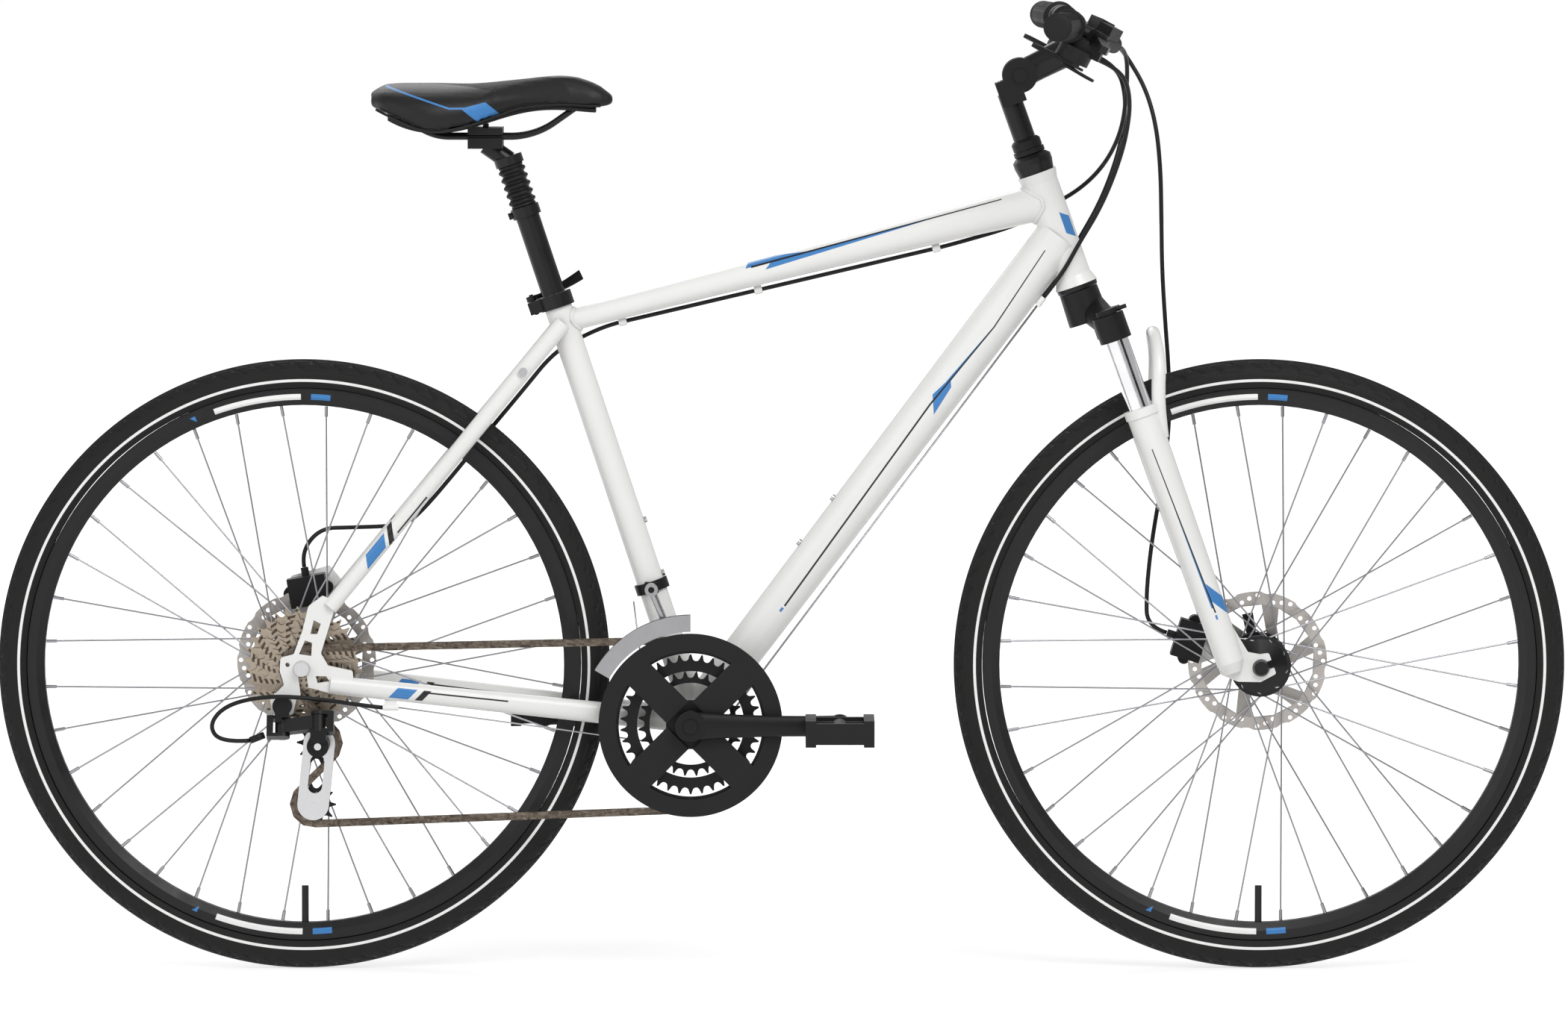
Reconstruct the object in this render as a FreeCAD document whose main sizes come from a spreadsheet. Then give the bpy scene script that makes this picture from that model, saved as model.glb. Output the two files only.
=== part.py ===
import FreeCAD
import Part
import Sketcher
import math
import operator
import os
from types import SimpleNamespace

from FreeCAD import Placement, Rotation, Vector

# A hybrid bicycle at rest on level ground, in millimetres.
# X points forward, Y to the rider's left and Z up; the origin is on the ground midway between the axles.
# The chain side is at negative Y. Every driving dimension is in the sheet.
SIZES = {
    # layout
    "wheel_gap": 394, "tyre_height": 33, "bb_height": 285, "bb_setback": 104,
    "head_angle": 70.4, "fork_offset": 52, "fork_room": 130, "head_tube_length": 136,
    "seat_angle": 71.5, "seat_tube_lead": 7, "seat_tube_length": 516,
    "front_hub_width": 100, "rear_hub_width": 135, "chain_plane": 60,
    # frame
    "tube_wall": 1.8, "head_tube_d": 41, "head_ring_d": 50, "head_ring_width": 12,
    "seat_tube_d": 31.8, "seat_post_d": 27.2, "slide_fit": 0.05,
    "top_tube_seat_d": 25, "top_tube_head_d": 42, "top_tube_seat_height": 482, "top_tube_head_drop": 34,
    "down_tube_bb_d": 44, "down_tube_head_d": 52, "down_tube_head_drop": 76,
    "bb_shell_d": 41, "bb_shell_width": 68, "bb_bore_d": 34,
    "seatstay_d": 20, "seatstay_top": 482, "seatstay_top_half": 22, "chainstay_height": 26,
    "chainstay_width": 17, "chainstay_bb_half": 23, "dropout_thick": 6,
    "seatstay_foot_up": 70, "seatstay_foot_x": 32, "chainstay_foot_x": 32, "chainstay_foot_down": 18,
    "bridge_d": 12, "bridge_gap": 22, "eyelet_d": 5, "eyelet_back": 16, "eyelet_up": 5,
    "axle_slot_d": 10, "hanger_back": 21.6, "hanger_drop": 41, "hanger_eye_d": 9.8,
    "boss_d": 8, "boss_height": 3, "bottle_pitch": 64, "stop_d": 7, "stop_length": 12,
    # headset and fork
    "steerer_d": 25.4, "bearing_fit": 0.05, "cup_d": 45, "cup_height": 22, "lower_cup_height": 6,
    "crown_gap": 0.5, "locknut_d": 36, "locknut_height": 19, "leg_ahead": 21, "leg_half": 61,
    "stanchion_d": 28, "crown_bottom": 44, "socket_top": 41, "socket_bottom": 71, "socket_d": 37,
    "crown_hub_d": 40, "crown_arm_height": 28, "stanchion_foot": 250,
    "lowers_top": 153, "lowers_top_d": 37, "lowers_foot_d": 32, "lip_height": 10, "lip_extra": 3,
    "lowers_lift": 18, "fork_travel": 63, "arch_rise": 72, "arch_d": 16, "arch_ahead": 64,
    "fork_plate_thick": 8, "front_axle_d": 9, "lockout_d": 24, "lockout_height": 6, "lockout_lever": 24,
    "front_rotor_plane": 39.5, "rear_rotor_plane": 52.2, "caliper_half": 15, "caliper_inner": 12, "caliper_lift": 40,
    # stem, bar and controls
    "quill_d": 22.2, "quill_insert": 70, "quill_column_d": 25.4, "pivot_up": 112, "pivot_ahead": 19,
    "ear_gap": 22, "ear_thick": 6, "ear_d": 40, "pivot_d": 8, "stem_reach": 65, "stem_rise": 33,
    "bar_clamp_d": 41, "bar_clamp_width": 40, "bar_d": 22.2, "bar_bore": 17.5, "bar_centre_d": 25.4,
    "bar_half": 320, "bar_rise": 29, "bar_sweep": 30, "bar_knee_in": 40, "bar_knee_out": 115,
    "grip_d": 32, "grip_length": 118, "grip_flange_d": 38, "grip_flange_width": 5,
    "control_dip": 27, "brake_clamp_in": 153, "shift_clamp_in": 134, "clamp_ring_d": 31, "clamp_ring_width": 10,
    "face_bolt_d": 7, "cylinder_d": 20, "cylinder_length": 40, "cylinder_ahead": 34, "hose_nut_d": 9,
    "blade_thick": 9, "hinge_pin_d": 5, "lever_reach": 118, "pod_d": 40, "pod_height": 16, "pod_ahead": 18,
    "pod_drop": 18,
    # wheels and brakes
    "tyre_width": 40, "tyre_wall": 3, "rim_radius": 317, "rim_width": 24, "rim_wall": 2.5, "rim_depth": 19.5,
    "rim_hook": 8, "valve_d": 8, "valve_length": 42, "spoke_count": 36, "spoke_d": 2, "spoke_cross": 60,
    "nipple_d": 4, "nipple_length": 12, "nipple_gap": 0.5, "flange_d": 70, "flange_edge": 5, "flange_thick": 3.4,
    "hub_end_d": 19, "hub_barrel_d": 26, "front_right_flange": 33, "front_left_flange": 21,
    "rear_right_flange": 19, "rear_left_flange": 33, "rear_axle_d": 9.5, "skewer_cap_d": 20,
    "skewer_cap_length": 8, "skewer_lever": 52, "skewer_hub": 10,
    "rotor_d": 160, "rotor_thick": 1.8, "rotor_bore_d": 34, "rotor_track": 15, "rotor_hub_d": 56,
    "rotor_bolt_circle": 44, "rotor_bolt_d": 5.2, "rotor_hole_d": 5, "rotor_wave": 2, "rotor_wave_d": 30,
    "caliper_length": 44, "caliper_height": 34, "caliper_ear_d": 14,
    # drive
    "chain_pitch": 12.7, "roller_d": 7.7, "roller_fit": 0.25, "tooth_height": 3.4, "tooth_land": 1.6,
    "chain_inner": 2.8, "link_thick": 0.9, "link_height": 8.4, "chain_pin_d": 3.6, "chain_slack": 0.06,
    "sprocket_thick": 2, "sprocket_pitch": 4.8, "spacer_wall": 1.6, "freehub_d": 31,
    "guide_ahead": 19.5, "guide_drop": 85.5, "cage_length": 70.6, "cage_angle": 3.6,
    "crank_length": 170, "crank_plane": 76, "crank_width": 13, "crank_height": 33, "spider_plane": 56.3,
    "spider_thick": 4, "spindle_d": 17, "ring_pitch": 7.5, "ring_inner_d": 88, "granny_inner_d": 52,
    "ring_bolt_circle": 104, "granny_bolt_circle": 64, "guard_d": 210, "guard_inner_d": 170, "guard_plane": 66,
    "guard_thick": 2.4, "guard_clip_circle": 174, "guard_arm_width": 35, "guard_arm_root": 21,
    "finger_width": 18, "large_rim_d": 164, "middle_rim_d": 122, "small_rim_d": 94, "pedal_axle_d": 9.5, "pedal_gap": 6, "pedal_width": 92,
    "pedal_length": 78, "pedal_height": 30,
    "link_slant": 22, "link_swing": 23.2, "link_length": 46, "link_root_back": 22, "link_root_drop": 66,
    "link_root_side": 82, "link_height_axis": 16, "ear_plate": 4, "cage_half": 4.6, "cage_plate": 1.5,
    "cage_width": 36, "cage_pin_d": 8, "pulley_bolt_d": 5, "pulley_thick": 2.2, "pulley_hole_circle": 24,
    "pulley_hole_d": 5, "band_along": 163, "band_height": 12, "band_wall": 3.6, "fd_pin_d": 7, "fd_half": 5,
    "fd_depth": 19,
    # seat
    "collar_height": 20, "collar_wall": 4, "collar_lever": 62, "post_insert": 100, "post_top": 622,
    "post_nut_d": 33, "post_nut_height": 12, "post_cap_height": 10, "shaft_d": 20, "boot_length": 50,
    "boot_ribs": 5, "boot_valley_d": 25, "boot_peak_d": 32, "saddle_clamp_x": -338, "saddle_clamp_length": 40,
    "rail_d": 7, "rail_half": 22, "rail_height": 955, "rail_rear_x": -436, "rail_rear_z": 984,
    "rail_front_x": -232, "rail_front_z": 990, "saddle_depth": 25, "saddle_gap": 2.4, "saddle_base_wall": 4,
    "saddle_tail_x": -470, "saddle_tail_half": 42, "saddle_tail_crown": 1006, "saddle_tail_skirt": 990,
    "saddle_rear_x": -448, "saddle_rear_half": 70, "saddle_rear_crown": 1014, "saddle_rear_skirt": 979,
    "saddle_wing_x": -400, "saddle_wing_half": 81, "saddle_wing_crown": 1015, "saddle_wing_skirt": 961,
    "saddle_waist_x": -350, "saddle_waist_half": 66, "saddle_waist_crown": 1014.5, "saddle_waist_skirt": 969,
    "saddle_thigh_x": -300, "saddle_thigh_half": 42, "saddle_thigh_crown": 1019, "saddle_thigh_skirt": 986,
    "saddle_neck_x": -250, "saddle_neck_half": 26, "saddle_neck_crown": 1023.5, "saddle_neck_skirt": 990,
    "saddle_nose_x": -212, "saddle_nose_half": 22, "saddle_nose_crown": 1017, "saddle_nose_skirt": 988,
    "saddle_tip_x": -191, "saddle_tip_half": 12, "saddle_tip_crown": 1004, "saddle_tip_skirt": 992,
    # fittings, hoses and cables
    "seat_bottle_along": 206, "down_bottle_along": 270, "rack_boss_share": 0.17, "stop_along": 625, "stop_side": 9,
    "stay_stop_ahead": 101, "stay_stop_drop": 45, "stay_stop_side": 62, "clip_front": 440, "clip_middle": 230,
    "clip_rear": 70, "hose_side": 8, "hose_d": 5, "gear_cable_d": 1.8, "housing_d": 5, "banjo_length": 14,
    # brake calipers
    "front_caliper_back": 78, "front_caliper_up": 24, "rear_caliper_ahead": 2, "rear_caliper_up": 80,
}

doc = FreeCAD.newDocument("hybrid_bike")
sheet = doc.addObject("Spreadsheet::Sheet", "Sizes")
X = Vector(1, 0, 0)
Y = Vector(0, 1, 0)
Z = Vector(0, 0, 1)
SIDES = {"right": -1, "left": 1}


class Size:
    """A driving dimension, or a sum made of some: its value, and its text for an expression."""

    def __init__(self, value, text):
        self.value = value
        self.text = text

    def __float__(self):
        return float(self.value)

    def join(self, other, sign, how, swap=False):
        other = other if isinstance(other, Size) else Size(other, repr(other))
        first, second = (other, self) if swap else (self, other)
        return Size(how(first.value, second.value), f"({first.text} {sign} {second.text})")

    def __add__(self, other):
        return self.join(other, "+", operator.add)

    def __radd__(self, other):
        return self.join(other, "+", operator.add, True)

    def __sub__(self, other):
        return self.join(other, "-", operator.sub)

    def __rsub__(self, other):
        return self.join(other, "-", operator.sub, True)

    def __mul__(self, other):
        return self.join(other, "*", operator.mul)

    def __rmul__(self, other):
        return self.join(other, "*", operator.mul, True)

    def __truediv__(self, other):
        return self.join(other, "/", operator.truediv)

    def __neg__(self):
        return Size(0, "0") - self


def fill_sheet():
    """Write each driving dimension to a cell with its name as alias."""
    names = SimpleNamespace()
    for row, (alias, value) in enumerate(SIZES.items(), start=1):
        sheet.set(f"A{row}", alias)
        sheet.set(f"B{row}", str(value))
        sheet.setAlias(f"B{row}", alias)
        setattr(names, alias, Size(value, f"Sizes.{alias}"))
    doc.recompute()
    return names


size = fill_sheet()


# Small helpers that make one document object each.
def bind(feature, **sizes):
    for name, value in sizes.items():
        if isinstance(value, Size):
            feature.setExpression(name, value.text)
        else:
            setattr(feature, name, value)
    return feature


def point(*coordinates):
    return Vector(*[float(value) for value in coordinates])


def aim(at, along=Z):
    return Placement(at, Rotation(Z, along))


def cylinder(name, diameter, length, at, along=Z):
    feature = bind(doc.addObject("Part::Cylinder", name), Radius=diameter / 2, Height=length)
    feature.Placement = aim(at, along)
    return feature


def rod(name, diameter, start, end):
    return cylinder(name, diameter, (end - start).Length, start, end - start)


def cone(name, diameter, end_diameter, length, at, along=Z):
    feature = bind(doc.addObject("Part::Cone", name), Radius1=diameter / 2, Radius2=end_diameter / 2,
                   Height=length)
    feature.Placement = aim(at, along)
    return feature


def box(name, length, width, height, centre, turn=None):
    """A block with its middle at centre; turn is its rotation."""
    feature = bind(doc.addObject("Part::Box", name), Length=length, Width=width, Height=height)
    turn = turn or Rotation()
    half = point(length, width, height) * 0.5
    feature.Placement = Placement(centre - turn.multVec(half), turn)
    return feature


def torus(name, diameter, section_d, at, along=Y):
    feature = bind(doc.addObject("Part::Torus", name), Radius1=diameter / 2, Radius2=section_d / 2)
    feature.Placement = aim(at, along)
    return feature


def fuse(name, *pieces):
    feature = doc.addObject("Part::MultiFuse", name)
    feature.Shapes = list(pieces)
    return feature


def cut(name, base, *tools):
    feature = doc.addObject("Part::Cut", name)
    feature.Base = base
    feature.Tool = tools[0] if len(tools) == 1 else fuse(name + "_tools", *tools)
    return feature


def shape(name, made):
    """A feature for a form that the other kinds don't make; its sizes come from the sheet."""
    feature = doc.addObject("Part::Feature", name)
    feature.Shape = made
    return feature


def tube_loft(name, sections):
    """A loft through rings: each section is a centre, a direction, and one diameter or a height and a width."""
    rings = []
    for index, (centre, along, *widths) in enumerate(sections):
        if len(widths) == 1:
            ring = bind(doc.addObject("Part::Circle", f"{name}_ring{index}"), Radius=widths[0] / 2)
            ring.Placement = aim(centre, along)
        else:
            ring = bind(doc.addObject("Part::Ellipse", f"{name}_ring{index}"),
                        MajorRadius=widths[0] / 2, MinorRadius=widths[1] / 2)
            ring.Placement = Placement(centre, Rotation(along.cross(Y), Y, along, "ZXY"))
        rings.append(ring)
    loft = doc.addObject("Part::Loft", name)
    loft.Sections = rings
    loft.Solid = True
    loft.Ruled = len(rings) == 2
    return loft


NODES = {}


def node(label, *pieces):
    """A sub-part: one piece, or a group of pieces that belong together."""
    if len(pieces) == 1:
        feature = pieces[0]
    else:
        feature = doc.addObject("Part::Compound", label + "_group")
        feature.Links = list(pieces)
    feature.Label = label
    NODES[label] = feature
    return feature


# Helpers for bodies that are turned on a lathe or cut from plate.
def plane_of(body, role):
    return next(item for item in body.Origin.OriginFeatures if item.Role == role)


def new_sketch(body, role):
    drawing = body.newObject("Sketcher::SketchObject", body.Name + "_sketch")
    drawing.AttachmentSupport = (plane_of(body, role), [""])
    drawing.MapMode = "FlatFace"
    return drawing


def pin_point(drawing, line, end, x, y):
    """Hold one end of a line, or a circle's middle, at x and y."""
    for kind, axis, value in (("DistanceX", -2, x), ("DistanceY", -1, y)):
        if float(value) == 0:
            drawing.addConstraint(Sketcher.Constraint("PointOnObject", line, end, axis))
            continue
        index = drawing.addConstraint(Sketcher.Constraint(kind, -1, 1, line, end, float(value)))
        if isinstance(value, Size):
            drawing.setExpression(f"Constraints[{index}]", value.text)


def draw_polygon(drawing, corners):
    first = drawing.GeometryCount
    spots = [point(x, y, 0) for x, y in corners]
    count = len(spots)
    for index in range(count):
        drawing.addGeometry(Part.LineSegment(spots[index], spots[(index + 1) % count]))
    for index in range(count):
        joined = first + (index + 1) % count
        drawing.addConstraint(Sketcher.Constraint("Coincident", first + index, 2, joined, 1))
    for index, (x, y) in enumerate(corners):
        pin_point(drawing, first + index, 1, x, y)


def draw_circle(drawing, x, y, diameter):
    index = drawing.addGeometry(Part.Circle(point(x, y, 0), Z, float(diameter) / 2))
    pin_point(drawing, index, 3, x, y)
    rule = drawing.addConstraint(Sketcher.Constraint("Diameter", index, float(diameter)))
    if isinstance(diameter, Size):
        drawing.setExpression(f"Constraints[{rule}]", diameter.text)


def turned(name, profile, at, along=Y):
    """A lathe-turned body: the profile is (radius, distance along the axis) corners."""
    body = doc.addObject("PartDesign::Body", name)
    drawing = new_sketch(body, "XY_Plane")
    draw_polygon(drawing, profile)
    feature = body.newObject("PartDesign::Revolution", name + "_turn")
    feature.Profile = drawing
    feature.ReferenceAxis = (drawing, ["V_Axis"])
    feature.Angle = 360
    body.Placement = Placement(at, Rotation(Y, along))
    return body


def pad(body, drawing, thickness):
    feature = body.newObject("PartDesign::Pad", body.Name + "_pad")
    feature.Profile = drawing
    bind(feature, Length=thickness)
    feature.SideType = "Symmetric"
    return feature


def pocket(body, drawing):
    feature = body.newObject("PartDesign::Pocket", body.Name + "_pocket")
    feature.Profile = drawing
    feature.Type = "ThroughAll"
    feature.SideType = "Symmetric"
    return feature


def plate(name, outline, thickness, at, holes=(), windows=(), rounding=None, turn=None):
    """A plate in the XZ plane, centred on its thickness: outline and windows are corners, holes are x, z, d."""
    body = doc.addObject("PartDesign::Body", name)
    drawing = new_sketch(body, "XZ_Plane")
    draw_polygon(drawing, outline)
    solid = pad(body, drawing, thickness)
    if rounding:
        doc.recompute()
        solid = body.newObject("PartDesign::Fillet", name + "_corners")
        uprights = [f"Edge{index}" for index, edge in enumerate(body.Shape.Edges, start=1)
                    if abs(edge.tangentAt(edge.FirstParameter).y) > 0.99]
        solid.Base = (pad_of(body), uprights)
        bind(solid, Radius=rounding)
    if holes:
        drilled = new_sketch(body, "XZ_Plane")
        for x, z, diameter in holes:
            draw_circle(drilled, x, z, diameter)
        pocket(body, drilled)
    if windows:
        opened = new_sketch(body, "XZ_Plane")
        for corners in windows:
            draw_polygon(opened, corners)
        pocket(body, opened)
    body.Placement = Placement(at, turn or Rotation())
    return body


def pad_of(body):
    return next(item for item in body.Group if item.TypeId == "PartDesign::Pad")


# Layout: the points that everything hangs on.
def leaning_back(angle):
    lean = math.radians(float(angle))
    return Vector(-math.cos(lean), 0, math.sin(lean))


tyre_radius = size.rim_radius + size.tyre_height
wheelbase = 2 * tyre_radius + size.wheel_gap
fork_length = tyre_radius + size.fork_room
rear_axle = point(-wheelbase / 2, 0, tyre_radius)
front_axle = point(wheelbase / 2, 0, tyre_radius)
bracket = point(-size.bb_setback, 0, size.bb_height)
steer_up = leaning_back(size.head_angle)
steer_ahead = Vector(steer_up.z, 0, -steer_up.x)
head_foot = front_axle - steer_ahead * float(size.fork_offset) + steer_up * float(fork_length)
head_top = head_foot + steer_up * float(size.head_tube_length)
seat_up = leaning_back(size.seat_angle)
seat_foot = bracket + X * float(size.seat_tube_lead)
seat_top = seat_foot + seat_up * float(size.seat_tube_length)


def on_fork(below, ahead=0, side=0):
    """A point by its distance down the steering axis from the head tube's foot, ahead of it and to the left."""
    return head_foot - steer_up * float(below) + steer_ahead * float(ahead) + Y * float(side)


def on_seat(along, behind=0, side=0):
    """A point by its distance up the seat tube, behind its axis and to the left."""
    back = Vector(-seat_up.z, 0, seat_up.x)
    return seat_foot + seat_up * float(along) + back * float(behind) + Y * float(side)


def from_rear(ahead, up, side=0):
    return rear_axle + Vector(float(ahead), float(side), float(up))


def from_front(ahead, up, side=0):
    return front_axle + Vector(float(ahead), float(side), float(up))


# Frame
def hollow(name, sections, wall):
    """A tube through rings, with its bore, as an outer and an inner loft."""
    outer = tube_loft(name + "_outer", sections)
    inner = [(centre, along, *[width - 2 * wall for width in widths]) for centre, along, *widths in sections]
    return outer, tube_loft(name + "_inner", inner)


def dropouts():
    """The two plates that hold the rear axle; the right one carries the derailleur hanger, the left the brake."""
    half = size.rear_hub_width / 2 + size.dropout_thick / 2
    front_edge = [(30, 44), (22, 18), (30, 4), (58, -2), (60, -26), (34, -28), (8, -21)]
    hanger = [(-6, -34), (-10, -52), (-34, -52), (-36, -34), (-20, -18)]
    slot = [(-size.axle_slot_d / 2, 0), (size.axle_slot_d / 2, 0),
            (size.axle_slot_d / 2 + 5, -40), (5 - size.axle_slot_d / 2, -40)]
    upper_window = [(10, 40), (14, 56), (22, 52), (18, 40)]
    rear_window = [(-3, 17), (4, 33), (12, 30), (11, 15)]
    lower_window = [(18, -16), (16, -8), (28, -8), (32, -14)]
    eyelets = [(0, 0, size.axle_slot_d), (-size.eyelet_back, size.eyelet_up, size.eyelet_d)]
    right = plate("right_dropout", [(-25, -2), (-24, 13), (-9, 17), (1, 44), (8, 72), (24, 84), (40, 76)]
                  + front_edge + hanger, size.dropout_thick, rear_axle - Y * float(half),
                  eyelets + [(-size.hanger_back, -size.hanger_drop, size.hanger_eye_d)],
                  [slot, upper_window, rear_window, lower_window], 3)
    left = plate("left_dropout", [(-25, -2), (-24, 13), (-14, 22), (-30, 62), (-18, 96), (26, 108), (46, 84)]
                 + front_edge + [(-18, -18)], size.dropout_thick, rear_axle + Y * float(half),
                 eyelets, [slot, rear_window, lower_window], 3)
    return right, left


def frame_tubes():
    wall = size.tube_wall
    head = cylinder("head_outer", size.head_tube_d, size.head_tube_length, head_foot, steer_up)
    low_ring = cone("head_low_ring", size.head_ring_d, size.head_tube_d, size.head_ring_width,
                    head_foot, steer_up)
    high_ring = cone("head_high_ring", size.head_ring_d - 4, size.head_tube_d, size.head_ring_width,
                     head_top, -steer_up)
    head_solid = fuse("head_solid", head, low_ring, high_ring)
    head_bore = cylinder("head_bore", size.head_tube_d - 4 * wall, size.head_tube_length, head_foot, steer_up)
    seat = cylinder("seat_outer", size.seat_tube_d, size.seat_tube_length, seat_foot, seat_up)
    seat_bore = cylinder("seat_bore", size.seat_post_d + 2 * size.slide_fit, size.seat_tube_length,
                         seat_foot, seat_up)
    shell = cylinder("shell_outer", size.bb_shell_d, size.bb_shell_width,
                     bracket - Y * float(size.bb_shell_width / 2), Y)
    shell_bore = cylinder("shell_bore", size.bb_bore_d, size.bb_shell_width,
                          bracket - Y * float(size.bb_shell_width / 2), Y)

    down_head = head_top - steer_up * float(size.down_tube_head_drop)
    down_along = (down_head - bracket).normalize()
    down, down_bore = hollow("down", [
        (bracket, down_along, size.down_tube_bb_d),
        (down_head, down_along, size.down_tube_head_d)], wall)

    top_seat = seat_foot + seat_up * float(size.top_tube_seat_height)
    top_head = head_top - steer_up * float(size.top_tube_head_drop)
    top_along = (top_head - top_seat).normalize()
    middle_d = size.top_tube_seat_d * 0.7 + size.top_tube_head_d * 0.3
    sag = (size.top_tube_head_d - size.top_tube_seat_d) / 20
    top, top_bore = hollow("top", [
        (top_seat, top_along, size.top_tube_seat_d),
        ((top_seat + top_head) * 0.5 + Z * float(sag), top_along, middle_d),
        (top_head, top_along, size.top_tube_head_d)], wall)

    right_plate, left_plate = dropouts()
    pieces = [cut("head_tube", head_solid, head_bore),
              cut("bottom_shell", shell, shell_bore),
              cut("down_tube", down, down_bore, head_solid, shell),
              cut("seat_tube", seat, seat_bore, shell, down),
              cut("top_tube", top, top_bore, head_solid, down, seat),
              right_plate, left_plate]
    foot_half = float(size.rear_hub_width / 2 + size.dropout_thick / 2)
    bridge_ends = []
    for side, sign in SIDES.items():
        dropout = right_plate if sign < 0 else left_plate
        stay_top = on_seat(size.seatstay_top, 0, sign * size.seatstay_top_half)
        stay_foot = from_rear(size.seatstay_foot_x, size.seatstay_foot_up, sign * foot_half)
        along = (stay_top - stay_foot).normalize()
        seatstay, seatstay_bore = hollow(side + "_seatstay", [
            (stay_foot, along, size.seatstay_d - 2), (stay_top, along, size.seatstay_d)], wall)
        pieces.append(cut(side + "_seatstay", seatstay, seatstay_bore, seat, top, dropout))
        bridge_ends.append(stay_foot + along * float(tyre_radius + size.bridge_gap - size.seatstay_foot_up))
        foot = from_rear(size.chainstay_foot_x, -size.chainstay_foot_down, sign * foot_half)
        root = bracket + Y * float(sign * size.chainstay_bb_half)
        run = (root - foot).normalize()
        chainstay, chainstay_bore = hollow(side + "_chainstay", [
            (foot, run, size.chainstay_height * 0.8, size.chainstay_width),
            (root, run, size.chainstay_height, size.chainstay_width)], wall)
        pieces.append(cut(side + "_chainstay", chainstay, chainstay_bore, shell, seat, down, dropout))
    bridge = rod("bridge_bar", size.bridge_d, *bridge_ends)
    stays = [item for item in pieces if item.Name.endswith("_seatstay")]
    pieces.append(cut("stay_bridge", bridge, *[item.Base for item in stays]))
    node("frame", *pieces)


frame_tubes()


# Paths made of straight runs and tangent arcs, for bars, hoses and cables.
STRAIGHT = 1e-3


def smooth_path(points, share=0.45):
    """A wire through the points: each corner is an arc as large as its two runs allow."""
    edges = []
    start = points[0]
    for before, corner, after in zip(points, points[1:], points[2:]):
        into = (corner - before).normalize()
        onward = (after - corner).normalize()
        reach = share * min((corner - before).Length, (after - corner).Length)
        first = corner - into * reach
        last = corner + onward * reach
        half_turn = into.getAngle(onward) / 2
        if half_turn < STRAIGHT:
            continue
        radius = reach / math.tan(half_turn)
        inward = (onward - into).normalize()
        middle = corner + inward * (radius / math.cos(half_turn) - radius)
        if (first - start).Length > 1e-6:
            edges.append(Part.LineSegment(start, first).toShape())
        edges.append(Part.Arc(first, middle, last).toShape())
        start = last
    edges.append(Part.LineSegment(start, points[-1]).toShape())
    return Part.Wire(edges)


def path_radii(points, share=0.45):
    found = []
    for before, corner, after in zip(points, points[1:], points[2:]):
        turn = (corner - before).getAngle(after - corner)
        reach = share * min((corner - before).Length, (after - corner).Length)
        if turn > STRAIGHT:
            found.append(reach / math.tan(turn / 2))
    return found


def pipe(points, diameter):
    """A round bar along a smooth path."""
    path = smooth_path(points)
    ring = Part.Wire(Part.Circle(points[0], points[1] - points[0], float(diameter) / 2).toShape())
    made = path.makePipeShell([ring], True, False)
    expected = path.Length * math.pi * float(diameter) ** 2 / 4
    if abs(made.Volume - expected) > 0.01 * expected:
        raise RuntimeError("a pipe's volume is not its section times its length")
    return made


# Headset and fork
def headset():
    """The fixed cups; their bores run on the steerer."""
    bore = size.steerer_d / 2 + size.bearing_fit
    rim = size.cup_d / 2
    lower = turned("lower_cup", [
        (bore, 0), (size.head_ring_d / 2 - 1, 0), (rim + 1, size.lower_cup_height - 1),
        (rim, size.lower_cup_height), (bore, size.lower_cup_height)], head_foot, -steer_up)
    upper = turned("upper_cup", [
        (bore, 0), (size.head_tube_d / 2, 0), (rim, size.cup_height / 2), (rim, size.cup_height - 4),
        (size.locknut_d / 2, size.cup_height), (bore, size.cup_height)], head_top, steer_up)
    return lower, upper


def locknut():
    """Two nuts on the threaded steerer, with a lock washer between them."""
    bore = size.steerer_d / 2
    third = size.locknut_height / 3
    seat = head_top + steer_up * float(size.cup_height + size.crown_gap)
    grip = size.locknut_d / 2
    stack = turned("locknut_stack", [
        (bore, 0), (grip - 1, 0), (grip, 1), (grip, third), (grip - 2, third), (grip - 2, third + 1),
        (grip - 1, third + 1), (grip - 1, 3 * third - 3), (grip - 4, 3 * third), (bore, 3 * third)],
        seat, steer_up)
    node("headset_locknut", stack)


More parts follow.
